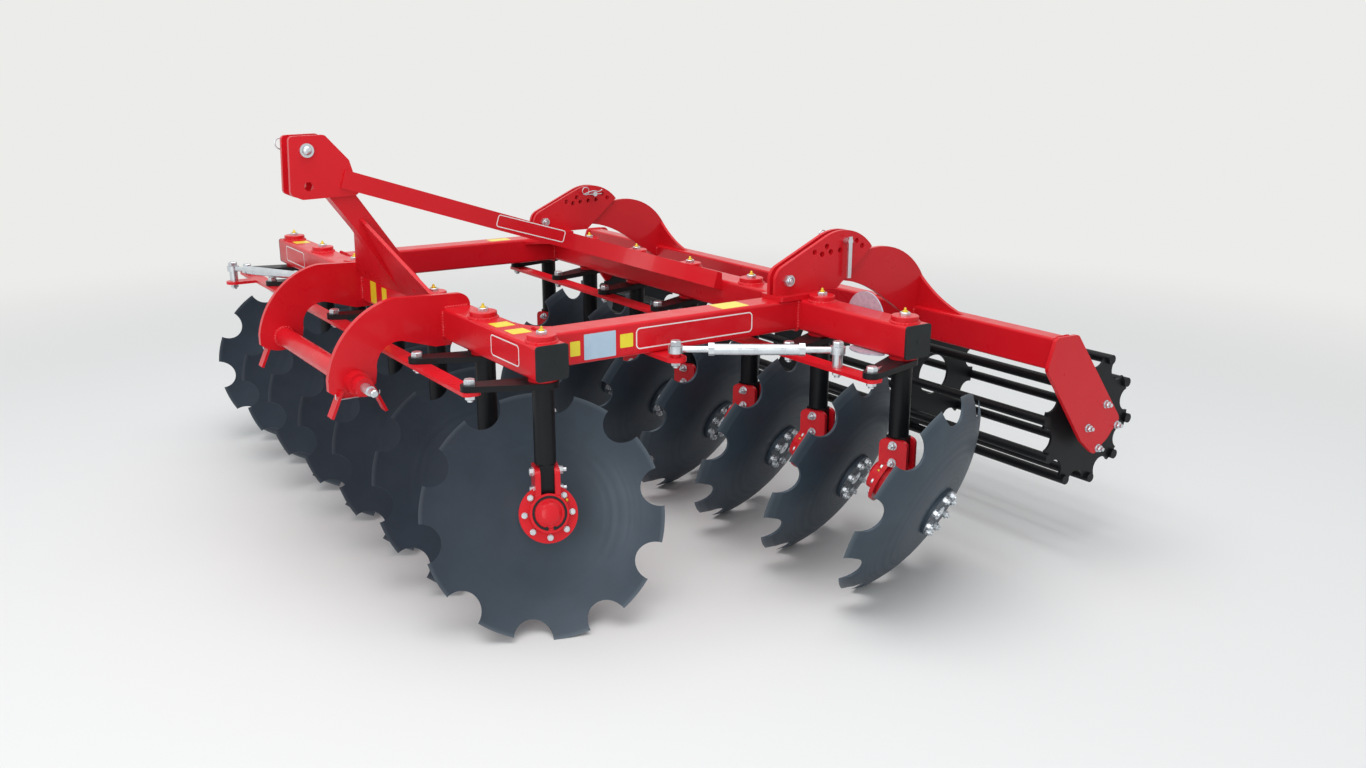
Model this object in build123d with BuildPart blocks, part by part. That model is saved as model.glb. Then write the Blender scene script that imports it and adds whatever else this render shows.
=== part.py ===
from build123d import *
import os
from math import atan2, cos, degrees, hypot, radians, sin

# A mounted disc harrow: a square-tube frame on a three-point hitch, two rows of
# notched discs that swivel on stalks, and a cage roller behind.
# Millimetres. X to the machine's left, Y to the rear, Z up, ground at Z = 0.

# Rows and reach
discs_per_row = 7
working_width = 2400.0
row_distance = 930.0
hitch_reach = 389.0
roller_behind = 712.0

# Frame tubes
beam_size = 92.0
beam_wall = 6.0
beam_corner = 9.0
beam_bottom = 700.0
beam_overhang = 50.0
cap_thickness = 6.0
side_inset = 97.0
gusset_reach = 130.0
gusset_plate = 10.0
gusset_lip = 14.0

# Stalks and their bushes
stalk_radius = 28.5
swivel_clearance = 0.05
bush_radius = 38.0
bush_fit = 0.1
bush_below = 10.0
bush_above = 18.0
bush_roof = 10.0
bush_chamfer = 2.0
stalk_headroom = 8.0
thrust_gap = 0.3
tongue_thickness = 37.0
tongue_height = 90.0
tongue_rise = 54.0
tongue_corner = 12.0
lever_length = 185.0
lever_thickness = 16.0
lever_boss = 42.0
lever_end = 24.0

# Discs
disc_radius = 330.0
disc_dish = 80.0
disc_flat = 80.0
disc_thickness = 6.0
disc_bevel = 24.0
disc_edge = 1.0
notch_count = 10
notch_radius = 53.0
notch_turn = 8.5
attack = 20.0
tilt = 23.0
rim_setback = 50.0
carrier_radius = 66.0
carrier_thickness = 9.0
back_ring_radius = 75.0
back_ring_thickness = 10.0

# Hubs
hub_radius = 60.0
hub_front = 28.0
hub_gap = 6.0
flange_radius = 77.0
flange_thickness = 12.0
cap_seat_radius = 46.0
cap_seat_depth = 6.0
cap_ring_radius = 35.0
cap_ring_height = 3.0
hub_cap_radius = 24.0
hub_cap_height = 10.0
spindle_radius = 25.0
spindle_length = 105.0
spindle_clearance = 0.05
spindle_end_gap = 4.0
fork_plate = 14.0
fork_width = 84.0
fork_rise = 137.0
fork_corner = 18.0
fork_gap = 2.0

# Tie bars and turnbuckles
tie_width = 50.0
tie_thickness = 10.0
tie_overhang = 25.0
tie_pin_radius = 8.0
tie_head_radius = 13.0
tie_head_height = 7.0
pin_clearance = 0.05
strap_reach = 96.0
strap_width = 56.0
link_height = 721.0
link_eye_radius = 21.0
link_eye_thickness = 20.0
link_sleeve_length = 230.0
link_sleeve_radius = 15.0
link_nut_radius = 18.0
link_nut_length = 16.0
link_rod_radius = 9.0
link_rod_inside = 70.0
link_bore_spare = 35.0
link_spacer_radius = 14.0
link_eye_play = 2.6
bracket_plate = 12.0
bracket_end = 30.0
front_link_pin_x = -1083.0
front_link_frame_x = -743.0
front_link_frame_ahead = 85.0
rear_link_pin_x = 1128.0
rear_link_frame_x = 876.0
rear_link_frame_ahead = 534.0

# Three-point hitch
hitch_half_width = 342.0
hitch_plate = 20.0
hitch_rise = 44.0
hook_width = 134.0
hook_underlap = 17.0
lower_pin_ahead = 312.0
lower_pin_height = 614.0
lower_shoulder = 412.5
cross_tube_radius = 30.0
collar_radius = 34.0
collar_step = 38.0
collar_nose_radius = 26.0
lower_pin_radius = 14.0
lower_pin_length = 45.0
lower_tip_radius = 11.0
lower_tip_length = 33.0
lower_pin_inside = 60.0
tab_width = 36.0
tab_thickness = 8.0
tab_length = 82.0
tab_splay = 24.0
tab_spread = 44.0
pin_chamfer = 3.0
mast_pin_ahead = 307.0
mast_pin_height = 1226.0
mast_pin_radius = 12.7
mast_hole_drop = 102.0
mast_hole_radius = 13.0
mast_gap = 54.0
mast_plate = 15.0
mast_pin_overhang = 22.0
mast_pin_head_radius = 20.0
mast_pin_head_length = 8.0
mast_head_corner = 14.0
post_depth = 104.0
flare_plate = 10.0
flare_end = 40.0
flare_top_half = 30.0
flare_hole_radius = 7.0
flare_hole_x = 175.0
brace_front_ahead = 200.0
brace_front_height = 1167.0
brace_rear_rise = 23.0
brace_depth = 54.0
brace_wall = 8.0
brace_flare_half = 420.0
brace_flare_run = 385.0
brace_lip = 18.0

# Roller
arm_x = 764.0
arm_thickness = 15.0
arm_side_gap = 0.5
arm_boss_radius = 34.0
bracket_side = 12.0
pad_thickness = 14.0
pad_width = 100.0
hinge_ahead = 72.0
hinge_height = 849.0
hinge_radius = 12.0
hinge_round = 46.0
hinge_head_radius = 18.0
hinge_head_length = 11.0
depth_pin_back = 150.0
depth_pin_height = 949.0
depth_pin_radius = 9.5
depth_pin_overhang = 24.0
handle_drop = 112.0
handle_width = 14.0
handle_thickness = 6.0
depth_hole_radius = 8.5
tube_behind = 501.0
tube_depth = 63.0
tube_height = 97.0
tube_bottom = 612.0
tube_wall = 6.0
tube_corner = 8.0
end_plate_x = 1335.0
end_plate_thickness = 12.0
end_plate_corner = 20.0
arm_gusset_reach = 190.0
arm_gusset_plate = 12.0
arm_gusset_rise = 97.0
roller_axis_height = 415.0
bar_circle = 198.0
bar_radius = 15.0
bar_count = 10
bar_phase = 26.0
bar_seat = 0.05
bar_end_x = 1300.0
cage_plate = 8.0
cage_plate_count = 5
cage_plate_inset = 10.0
cage_hole_radius = 70.0
cage_scallop_radius = 36.0
bearing_radius = 56.0
bearing_length = 26.0
bearing_flange_radius = 76.0
bearing_flange_thickness = 10.0
stub_radius = 22.0
stub_clearance = 0.05
stub_end_gap = 4.0

# Places that follow from the sizes above
pitch = working_width / discs_per_row
front_x = [(i - discs_per_row / 2) * pitch for i in range(discs_per_row)]
rear_x = [x + pitch for x in front_x]
roller_outer = bar_circle + bar_radius
front_y = (hitch_reach - row_distance - roller_behind - roller_outer) / 2
rear_y = front_y + row_distance
beam_top = beam_bottom + beam_size
beam_middle = beam_bottom + beam_size / 2
beam_half = beam_size / 2
beam_length = (discs_per_row - 1) * pitch + 2 * beam_overhang
side_x = (discs_per_row / 2 - 1) * pitch - side_inset
stations = [(x, front_y) for x in front_x] + [(x, rear_y) for x in rear_x]

bush_bottom = beam_bottom - bush_below
bush_height = beam_size + bush_below + bush_above
lever_top = bush_bottom - thrust_gap
lever_bottom = lever_top - lever_thickness
stalk_top = beam_top + bush_above - bush_roof - stalk_headroom
tie_top = lever_bottom - thrust_gap
tie_bottom = tie_top - tie_thickness

axis_height = disc_radius * cos(radians(tilt)) + rim_setback * sin(radians(tilt))
hub_back = -rim_setback - disc_dish + carrier_thickness + hub_gap
disc_face = -rim_setback - disc_dish
flange_front = hub_front + flange_thickness
tongue_foot = axis_height + tongue_rise

swing = sin(radians(attack)) * lever_length
lever_ahead = cos(radians(attack)) * lever_length
link_low = link_height - link_eye_thickness / 2
link_high = link_height + link_eye_thickness / 2

# Side views: sketch X runs to the rear from a row, sketch Y runs up
front_side = Plane(origin=(0, front_y, 0), x_dir=(0, 1, 0), z_dir=(1, 0, 0))
rear_side = Plane(origin=(0, rear_y, 0), x_dir=(0, 1, 0), z_dir=(1, 0, 0))

os.makedirs("parts", exist_ok=True)

# Turnbuckle ends: the frame pivot and the pin on the tie bar, for each row
front_pivot = (front_link_frame_x, front_y - front_link_frame_ahead)
front_pin = (front_link_pin_x, front_y - lever_ahead - strap_reach)
rear_pivot = (rear_link_frame_x, rear_y - rear_link_frame_ahead)
rear_pin = (rear_link_pin_x, rear_y - lever_ahead)

# Cross beams: square tubes with round seats for the bushes; the front one
# carries a bracket plate with the pivot bolt of its row's turnbuckle
with BuildPart() as cross_beams:
    for row_x, row_y in ((front_x, front_y), (rear_x, rear_y)):
        beam_end = Plane(
            origin=(row_x[0] - beam_overhang, row_y, beam_middle),
            x_dir=(0, 1, 0),
            z_dir=(1, 0, 0),
        )
        with BuildSketch(beam_end):
            RectangleRounded(beam_size, beam_size, beam_corner)
            RectangleRounded(
                beam_size - 2 * beam_wall,
                beam_size - 2 * beam_wall,
                max(beam_corner - beam_wall, 1),
                mode=Mode.SUBTRACT,
            )
        extrude(amount=beam_length)
    with BuildSketch(Plane.XY.offset(beam_bottom)):
        with Locations(*stations):
            Circle(bush_radius + bush_fit)
    extrude(amount=beam_size, mode=Mode.SUBTRACT)
    with BuildSketch(Plane.XY.offset(beam_bottom - bracket_plate)):
        with Locations(front_pivot):
            Circle(bracket_end)
        with Locations((front_pivot[0], (front_pivot[1] + front_y) / 2)):
            Rectangle(2 * bracket_end, front_link_frame_ahead)
    extrude(amount=bracket_plate)
    with BuildSketch(Plane.XY.offset(beam_bottom)):
        with Locations(front_pivot):
            Circle(link_spacer_radius)
    extrude(amount=link_low - thrust_gap - beam_bottom)
    with BuildSketch(Plane.XY.offset(beam_bottom)):
        with Locations(front_pivot):
            Circle(tie_pin_radius)
    extrude(amount=link_high + thrust_gap - beam_bottom)
    with BuildSketch(Plane.XY.offset(link_high + thrust_gap)):
        with Locations(front_pivot):
            Circle(tie_head_radius)
    extrude(amount=tie_head_height)
cross_beams.part.label = "cross_beams"
export_step(cross_beams.part, "parts/cross_beams.step")

# Side beams: two tubes between the cross beams, with a curved gusset in one
# corner each and, on the near one, the rear turnbuckle's bracket and bolt
with BuildPart() as side_beams:
    for beam_x in (-side_x, side_x):
        with BuildSketch(
            Plane(
                origin=(beam_x, front_y + beam_half, beam_middle),
                x_dir=(1, 0, 0),
                z_dir=(0, 1, 0),
            )
        ):
            RectangleRounded(beam_size, beam_size, beam_corner)
            RectangleRounded(
                beam_size - 2 * beam_wall,
                beam_size - 2 * beam_wall,
                max(beam_corner - beam_wall, 1),
                mode=Mode.SUBTRACT,
            )
        extrude(amount=row_distance - beam_size)
    for gusset_x, gusset_y, turn in (
        (side_x - beam_half, front_y + beam_half, 90),
        (beam_half - side_x, rear_y - beam_half, 270),
    ):
        corner = Plane(
            origin=(gusset_x, gusset_y, beam_top - beam_corner - gusset_plate),
            x_dir=(cos(radians(turn)), sin(radians(turn)), 0),
            z_dir=(0, 0, 1),
        )
        with BuildSketch(corner):
            with BuildLine():
                hollow = gusset_reach - gusset_lip
                Line((0, 0), (gusset_reach, 0))
                Line((gusset_reach, 0), (gusset_reach, gusset_lip))
                RadiusArc((gusset_reach, gusset_lip), (gusset_lip, gusset_reach), hollow)
                Line((gusset_lip, gusset_reach), (0, gusset_reach))
                Line((0, gusset_reach), (0, 0))
            make_face()
        extrude(amount=gusset_plate)
    with BuildSketch(Plane.XY.offset(beam_bottom - bracket_plate)):
        with Locations(rear_pivot):
            Circle(bracket_end)
        with Locations(((rear_pivot[0] + side_x) / 2, rear_pivot[1])):
            Rectangle(rear_pivot[0] - side_x, 2 * bracket_end)
    extrude(amount=bracket_plate)
    with BuildSketch(Plane.XY.offset(beam_bottom)):
        with Locations(rear_pivot):
            Circle(link_spacer_radius)
    extrude(amount=link_low - thrust_gap - beam_bottom)
    with BuildSketch(Plane.XY.offset(beam_bottom)):
        with Locations(rear_pivot):
            Circle(tie_pin_radius)
    extrude(amount=link_high + thrust_gap - beam_bottom)
    with BuildSketch(Plane.XY.offset(link_high + thrust_gap)):
        with Locations(rear_pivot):
            Circle(tie_head_radius)
    extrude(amount=tie_head_height)
side_beams.part.label = "side_beams"
export_step(side_beams.part, "parts/side_beams.step")

# Stalk bushes: closed-top sleeves through the beams
with BuildPart() as stalk_bushes:
    with BuildSketch(Plane.XY.offset(bush_bottom)):
        with Locations(*stations):
            Circle(bush_radius)
    extrude(amount=bush_height)
    chamfer(stalk_bushes.faces().sort_by(Axis.Z)[-len(stations):].edges(), bush_chamfer)
    with BuildSketch(Plane.XY.offset(bush_bottom)):
        with Locations(*stations):
            Circle(stalk_radius + swivel_clearance)
    extrude(amount=bush_height - bush_roof, mode=Mode.SUBTRACT)
stalk_bushes.part.label = "stalk_bushes"
export_step(stalk_bushes.part, "parts/stalk_bushes.step")

# Beam end caps: plastic covers on the open ends of the cross beams
with BuildPart() as beam_end_caps:
    for row_x, row_y in ((front_x, front_y), (rear_x, rear_y)):
        for end_x in (row_x[0] - beam_overhang - cap_thickness, row_x[-1] + beam_overhang):
            with BuildSketch(
                Plane(origin=(end_x, row_y, beam_middle), x_dir=(0, 1, 0), z_dir=(1, 0, 0))
            ):
                RectangleRounded(beam_size, beam_size, beam_corner)
            extrude(amount=cap_thickness)
beam_end_caps.part.label = "beam_end_caps"
export_step(beam_end_caps.part, "parts/beam_end_caps.step")

# Hitch frame: two hooked plates over the front beam, a cross tube between
# them on the lower pins' axis, and stepped collars out to the pin shoulders
hitch_inner = hitch_half_width - hitch_plate
hitch_top = beam_top + hitch_rise
nose = -hitch_reach
hook_back = nose + hook_width
brow_foot = lower_pin_height + 13
brow_rise = hitch_top - 31 - brow_foot
throat_rise = (beam_middle - lower_pin_height) * 0.75
with BuildPart() as hitch_frame:
    with BuildSketch(front_side.offset(hitch_inner)):
        with BuildLine():
            front_edge = Line((nose, lower_pin_height - 19), (nose, brow_foot))
            brow = ThreePointArc(
                front_edge @ 1,
                (nose + 42, brow_foot + brow_rise * 0.59),
                (nose + 118, brow_foot + brow_rise),
            )
            crown = TangentArc(brow @ 1, (nose + 200, hitch_top), tangent=brow % 1)
            top_edge = Line(crown @ 1, (0, hitch_top - 6))
            tail = ThreePointArc(top_edge @ 1, (27, hitch_top - 15), (39, hitch_top - 36))
            Polyline(
                tail @ 1,
                (39, beam_middle),
                (-beam_half / 2, beam_middle),
                (-beam_half / 2, beam_bottom - hook_underlap),
                (-beam_half - 27, beam_bottom - hook_underlap),
            )
            throat = Line(
                (-beam_half - 27, beam_bottom - hook_underlap),
                (hook_back + 83, lower_pin_height + throat_rise),
            )
            ThreePointArc(
                throat @ 1,
                (hook_back + 28, lower_pin_height + throat_rise * 0.83),
                (hook_back + 5, lower_pin_height + throat_rise * 0.24),
            )
            Line(
                (hook_back + 5, lower_pin_height + throat_rise * 0.24),
                (hook_back, lower_pin_height - 11),
            )
            ThreePointArc(
                (hook_back, lower_pin_height - 11),
                (-lower_pin_ahead - 8, lower_pin_height - 43),
                front_edge @ 0,
            )
        make_face()
        with Locations((0, beam_middle)):
            RectangleRounded(beam_size, beam_size, beam_corner, mode=Mode.SUBTRACT)
    extrude(amount=hitch_plate)
    with BuildSketch(front_side.offset(hitch_inner)):
        with Locations((-lower_pin_ahead, lower_pin_height)):
            Circle(collar_radius)
    extrude(amount=hitch_plate + collar_step)
    with BuildSketch(front_side.offset(hitch_inner)):
        with Locations((-lower_pin_ahead, lower_pin_height)):
            Circle(collar_nose_radius)
    extrude(amount=lower_shoulder - hitch_inner)
    with BuildSketch(front_side.offset(lower_shoulder - lower_pin_inside)):
        with Locations((-lower_pin_ahead, lower_pin_height)):
            Circle(lower_pin_radius + pin_clearance)
    extrude(amount=lower_pin_inside, mode=Mode.SUBTRACT)
    for splay in (-1, 1):
        with BuildSketch(front_side.offset(hitch_inner)):
            with Locations(
                Location(
                    (-lower_pin_ahead + splay * tab_spread, lower_pin_height - collar_radius / 2),
                    splay * tab_splay,
                )
            ):
                Rectangle(tab_thickness, tab_length, align=(Align.CENTER, Align.MAX))
        extrude(amount=tab_width)
    mirror(about=Plane.YZ)
    with BuildSketch(front_side.offset(-hitch_inner)):
        with Locations((-lower_pin_ahead, lower_pin_height)):
            Circle(cross_tube_radius)
    extrude(amount=2 * hitch_inner)
hitch_frame.part.label = "hitch_frame"
export_step(hitch_frame.part, "parts/hitch_frame.step")

# Hitch pins: two stepped lower pins and the headed top link pin
mast_half = mast_gap / 2 + mast_plate
with BuildPart() as hitch_pins:
    with BuildSketch(front_side.offset(lower_shoulder - lower_pin_inside)):
        with Locations((-lower_pin_ahead, lower_pin_height)):
            Circle(lower_pin_radius)
    extrude(amount=lower_pin_inside + lower_pin_length)
    with BuildSketch(front_side.offset(lower_shoulder + lower_pin_length)):
        with Locations((-lower_pin_ahead, lower_pin_height)):
            Circle(lower_tip_radius)
    extrude(amount=lower_tip_length)
    chamfer(hitch_pins.faces().sort_by(Axis.X)[-1].edges(), pin_chamfer)
    mirror(about=Plane.YZ)
    with BuildSketch(front_side.offset(-mast_half - mast_pin_overhang)):
        with Locations((-mast_pin_ahead, mast_pin_height)):
            Circle(mast_pin_radius)
    extrude(amount=2 * mast_half + mast_pin_overhang)
    with BuildSketch(front_side.offset(mast_half)):
        with Locations((-mast_pin_ahead, mast_pin_height)):
            Circle(mast_pin_head_radius)
    extrude(amount=mast_pin_head_length)
hitch_pins.part.label = "hitch_pins"
export_step(hitch_pins.part, "parts/hitch_pins.step")

# Mast head seen from the side, shared by the mast and the brace that laps it
with BuildSketch(front_side) as head_profile:
    with BuildLine():
        Polyline(
            (-mast_pin_ahead - 47, mast_pin_height + 40),
            (-mast_pin_ahead + 55, mast_pin_height + 42),
            (-mast_pin_ahead + 122, mast_pin_height - 32),
            (-mast_pin_ahead + 150, mast_pin_height - 134),
            (-mast_pin_ahead - 20, mast_pin_height - 139),
            (-mast_pin_ahead - 54, mast_pin_height - 124),
            close=True,
        )
    make_face()
    fillet(head_profile.vertices(), mast_head_corner)

# Mast: two head plates with the top link holes, a leaning post down to the
# front beam, and an inclined flare plate that ties the post to the hooks
with BuildPart() as mast:
    extrude(head_profile.sketch, amount=mast_half, both=True)
    extrude(head_profile.sketch, amount=mast_gap / 2, both=True, mode=Mode.SUBTRACT)
    with BuildSketch(front_side.offset(-mast_half)):
        with Locations((-mast_pin_ahead, mast_pin_height)):
            Circle(mast_pin_radius + pin_clearance)
        with Locations((-mast_pin_ahead, mast_pin_height - mast_hole_drop)):
            Circle(mast_hole_radius)
    extrude(amount=2 * mast_half, mode=Mode.SUBTRACT)
    with BuildSketch(front_side.offset(-mast_gap / 2)):
        with BuildLine():
            neck = mast_pin_height - 139
            Polyline(
                (beam_half - beam_corner, beam_top),
                (-mast_pin_ahead + 140, neck + 4),
                (-mast_pin_ahead + 118, neck + 50),
                (-mast_pin_ahead + 92, neck + 40),
                (-mast_pin_ahead + 62, neck),
                (-mast_pin_ahead + 135, neck - 100),
                (beam_half - beam_corner - post_depth + 18, beam_top),
                close=True,
            )
        make_face()
    extrude(amount=mast_gap)
    flare_base = beam_top - beam_corner
    flare_rise = mast_pin_height - 208 - flare_base
    flare_lean = mast_pin_ahead - 146 - beam_half
    flare_length = hypot(flare_rise, flare_lean)
    flare_face = Plane(
        origin=(0, front_y - beam_half, flare_base),
        x_dir=(1, 0, 0),
        z_dir=(0, -flare_rise, -flare_lean),
    )
    with BuildSketch(flare_face):
        with BuildLine():
            Polyline(
                (-hitch_inner, 0),
                (hitch_inner, 0),
                (hitch_inner, flare_end),
                (flare_top_half, flare_length),
                (-flare_top_half, flare_length),
                (-hitch_inner, flare_end),
                close=True,
            )
        make_face()
        with Locations((-flare_hole_x, flare_end), (flare_hole_x, flare_end)):
            Circle(flare_hole_radius, mode=Mode.SUBTRACT)
    extrude(amount=-flare_plate)
    with BuildSketch(front_side.offset(-hitch_inner)):
        with Locations((0, beam_middle)):
            RectangleRounded(beam_size, beam_size, beam_corner)
    extrude(amount=2 * hitch_inner, mode=Mode.SUBTRACT)
mast.part.label = "mast"
export_step(mast.part, "parts/mast.step")

# Top brace: a sloping box from the mast head to the rear beam, flared in plan
# where it meets the beam
brace_run = row_distance - beam_half + brace_front_ahead
brace_drop = brace_front_height - beam_top - brace_rear_rise
brace_length = hypot(brace_run, brace_drop)
brace_half = mast_half + brace_wall
brace_face = Plane(
    origin=(0, front_y - brace_front_ahead, brace_front_height),
    x_dir=(1, 0, 0),
    z_dir=(0, brace_drop, brace_run),
)
with BuildPart() as top_brace:
    with BuildSketch(brace_face) as brace_plan:
        with BuildLine():
            straight = brace_length - brace_flare_run
            Line((0, 0), (brace_half, 0))
            edge = Line((brace_half, 0), (brace_half, straight))
            flare = TangentArc(
                edge @ 1, (brace_flare_half, brace_length - brace_lip), tangent=(0, 1)
            )
            Polyline(
                flare @ 1,
                (brace_flare_half, brace_length + brace_depth),
                (0, brace_length + brace_depth),
            )
            Line((0, brace_length + brace_depth), (0, 0))
        make_face()
        mirror(about=Plane.YZ)
    extrude(amount=-brace_depth)
    with BuildSketch(brace_face.offset(-brace_wall)):
        with Locations((0, straight / 2)):
            Rectangle(2 * mast_half, straight)
    extrude(amount=2 * brace_wall - brace_depth, mode=Mode.SUBTRACT)
    extrude(head_profile.sketch, amount=mast_half, both=True, mode=Mode.SUBTRACT)
    with BuildSketch(
        Plane(
            origin=(0, rear_y - beam_half, beam_middle),
            x_dir=(1, 0, 0),
            z_dir=(0, 1, 0),
        )
    ):
        Rectangle(4 * brace_flare_half, 4 * beam_size)
    extrude(amount=3 * beam_size, mode=Mode.SUBTRACT)
top_brace.part.label = "top_brace"
export_step(top_brace.part, "parts/top_brace.step")

# Roller bracket side plate, seen from the side, with its depth holes
bracket_gap = arm_thickness + 2 * arm_side_gap
bracket_foot = beam_top + pad_thickness
with BuildSketch(rear_side) as bracket_profile:
    with BuildLine():
        toe = Line(
            (-hinge_ahead - hinge_round, bracket_foot), (-hinge_ahead - hinge_round, hinge_height)
        )
        shoulder = TangentArc(
            toe @ 1,
            (
                -hinge_ahead - hinge_round * sin(radians(25)),
                hinge_height + hinge_round * cos(radians(25)),
            ),
            tangent=(0, 1),
        )
        ridge = Line(shoulder @ 1, (depth_pin_back - 74, depth_pin_height + 19))
        ThreePointArc(
            ridge @ 1,
            (depth_pin_back + 22, depth_pin_height + 29),
            (depth_pin_back + 111, depth_pin_height - 26),
        )
        Polyline(
            (depth_pin_back + 111, depth_pin_height - 26),
            (depth_pin_back - 27, bracket_foot),
            (-hinge_ahead - hinge_round, bracket_foot),
        )
    make_face()
    with Locations((-hinge_ahead, hinge_height)):
        Circle(hinge_radius + pin_clearance, mode=Mode.SUBTRACT)
    with Locations((depth_pin_back, depth_pin_height)):
        Circle(depth_pin_radius + pin_clearance, mode=Mode.SUBTRACT)
    with Locations(
        (depth_pin_back - 121, depth_pin_height - 26),
        (depth_pin_back - 91, depth_pin_height - 34),
        (depth_pin_back - 73, depth_pin_height - 12),
        (depth_pin_back - 57, depth_pin_height - 30),
        (depth_pin_back - 20, depth_pin_height - 28),
        (depth_pin_back + 17, depth_pin_height - 26),
        (depth_pin_back + 46, depth_pin_height - 4),
        (depth_pin_back + 69, depth_pin_height - 21),
    ):
        Circle(depth_hole_radius, mode=Mode.SUBTRACT)

# Roller brackets: a pair of side plates on a pad, at each end of the rear beam
with BuildPart() as roller_brackets:
    for bracket_x in (-arm_x, arm_x):
        for plate_x in (
            bracket_x - bracket_gap / 2 - bracket_side,
            bracket_x + bracket_gap / 2,
        ):
            with BuildSketch(rear_side.offset(plate_x)):
                add(bracket_profile.sketch_local)
            extrude(amount=bracket_side)
        pad_front = -hinge_ahead - hinge_round
        with BuildSketch(Plane.XY.offset(beam_top)):
            with Locations((bracket_x, rear_y + (pad_front + beam_half) / 2)):
                RectangleRounded(pad_width, beam_half - pad_front, beam_corner)
        extrude(amount=pad_thickness)
roller_brackets.part.label = "roller_brackets"
export_step(roller_brackets.part, "parts/roller_brackets.step")

# Bracket pins: the hinge bolts and the depth pins through the bracket plates
bracket_half = bracket_gap / 2 + bracket_side
with BuildPart() as bracket_pins:
    for bracket_x in (-arm_x, arm_x):
        with BuildSketch(rear_side.offset(bracket_x - bracket_half)):
            with Locations((-hinge_ahead, hinge_height)):
                Circle(hinge_radius)
        extrude(amount=2 * bracket_half)
        for head_x in (bracket_x - bracket_half - hinge_head_length, bracket_x + bracket_half):
            with BuildSketch(rear_side.offset(head_x)):
                with Locations((-hinge_ahead, hinge_height)):
                    RegularPolygon(hinge_head_radius, 6)
            extrude(amount=hinge_head_length)
        with BuildSketch(rear_side.offset(bracket_x - bracket_half - depth_pin_overhang)):
            with Locations((depth_pin_back, depth_pin_height)):
                Circle(depth_pin_radius)
        extrude(amount=2 * bracket_half + 2 * depth_pin_overhang)
    with BuildSketch(rear_side.offset(arm_x + bracket_half + depth_pin_overhang)):
        with Locations((depth_pin_back, depth_pin_height + handle_width)):
            Rectangle(handle_width, handle_drop + handle_width, align=(Align.CENTER, Align.MAX))
    extrude(amount=-handle_thickness)
bracket_pins.part.label = "bracket_pins"
export_step(bracket_pins.part, "parts/bracket_pins.step")

# Stalks in their own frame: swivel axis along Z, the disc's hollow side
# towards +X, and the lever along the disc's plane
lever_sides = {"front": -1, "rear": 1}
stalk_units = {}
for row, lever_side in lever_sides.items():
    with BuildPart() as stalk:
        with BuildSketch(Plane.XZ):
            with Locations((0, tongue_foot)):
                Rectangle(2 * stalk_radius, tongue_height, align=(Align.CENTER, Align.MIN))
        extrude(amount=tongue_thickness / 2, both=True)
        fillet(
            stalk.edges().filter_by(Axis.Y).group_by(Axis.Z)[0],
            tongue_corner,
        )
        with BuildSketch(Plane.XY.offset(tongue_foot + tongue_height)):
            Circle(stalk_radius)
        extrude(amount=stalk_top - tongue_foot - tongue_height)
        with BuildSketch(Plane.XY.offset(lever_bottom)):
            Circle(lever_boss)
            with Locations((0, lever_side * lever_length)):
                Circle(lever_end)
            make_hull()
            with Locations((0, lever_side * lever_length)):
                Circle(tie_pin_radius + pin_clearance, mode=Mode.SUBTRACT)
        extrude(amount=lever_thickness)
    stalk_units[row] = stalk

# Hub in the same frame: a bearing drum on the tilted disc axis with a flange
# in front and a fork of two plates that clamps the stalk's tongue
disc_axis = Axis((0, 0, axis_height), (cos(radians(tilt)), 0, sin(radians(tilt))))
disc_section = Plane(
    origin=(0, 0, axis_height),
    x_dir=(sin(radians(tilt)), 0, -cos(radians(tilt))),
    z_dir=(0, -1, 0),
)
spindle_end = disc_face + spindle_length
with BuildPart() as hub:
    with BuildSketch(disc_section):
        with BuildLine():
            cap_seat = flange_front - cap_seat_depth
            bore = spindle_radius + spindle_clearance
            Polyline(
                (bore, hub_back),
                (hub_radius, hub_back),
                (hub_radius, hub_front),
                (flange_radius, hub_front),
                (flange_radius, flange_front),
                (cap_seat_radius, flange_front),
                (cap_seat_radius, cap_seat),
                (cap_ring_radius, cap_seat),
                (cap_ring_radius, cap_seat + cap_ring_height),
                (hub_cap_radius, cap_seat + cap_ring_height),
                (hub_cap_radius, cap_seat + hub_cap_height),
                (0, cap_seat + hub_cap_height),
                (0, spindle_end + spindle_end_gap),
                (bore, spindle_end + spindle_end_gap),
                close=True,
            )
        make_face()
    revolve(axis=disc_axis)
    with BuildSketch(Plane.XY.offset(tongue_foot - fork_gap)):
        Rectangle(4 * flange_radius, tongue_thickness)
    extrude(amount=2 * flange_radius, mode=Mode.SUBTRACT)
    with BuildSketch(Plane.XZ.offset(tongue_thickness / 2)):
        with BuildLine():
            Polyline(
                (-fork_width / 2, axis_height),
                (fork_width / 2, axis_height),
                (fork_width / 2, axis_height + fork_rise),
                (-fork_width / 2, axis_height + fork_rise),
                close=True,
            )
        make_face()
    extrude(amount=fork_plate)
    fillet(
        hub.faces().sort_by(Axis.Z)[-1].edges().filter_by(Axis.Y),
        fork_corner,
    )
    mirror(about=Plane.XZ)
    with BuildSketch(disc_section):
        with BuildLine():
            Polyline(
                (0, hub_back),
                (bore, hub_back),
                (bore, spindle_end + spindle_end_gap),
                (0, spindle_end + spindle_end_gap),
                close=True,
            )
        make_face()
    revolve(axis=disc_axis, mode=Mode.SUBTRACT)

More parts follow.
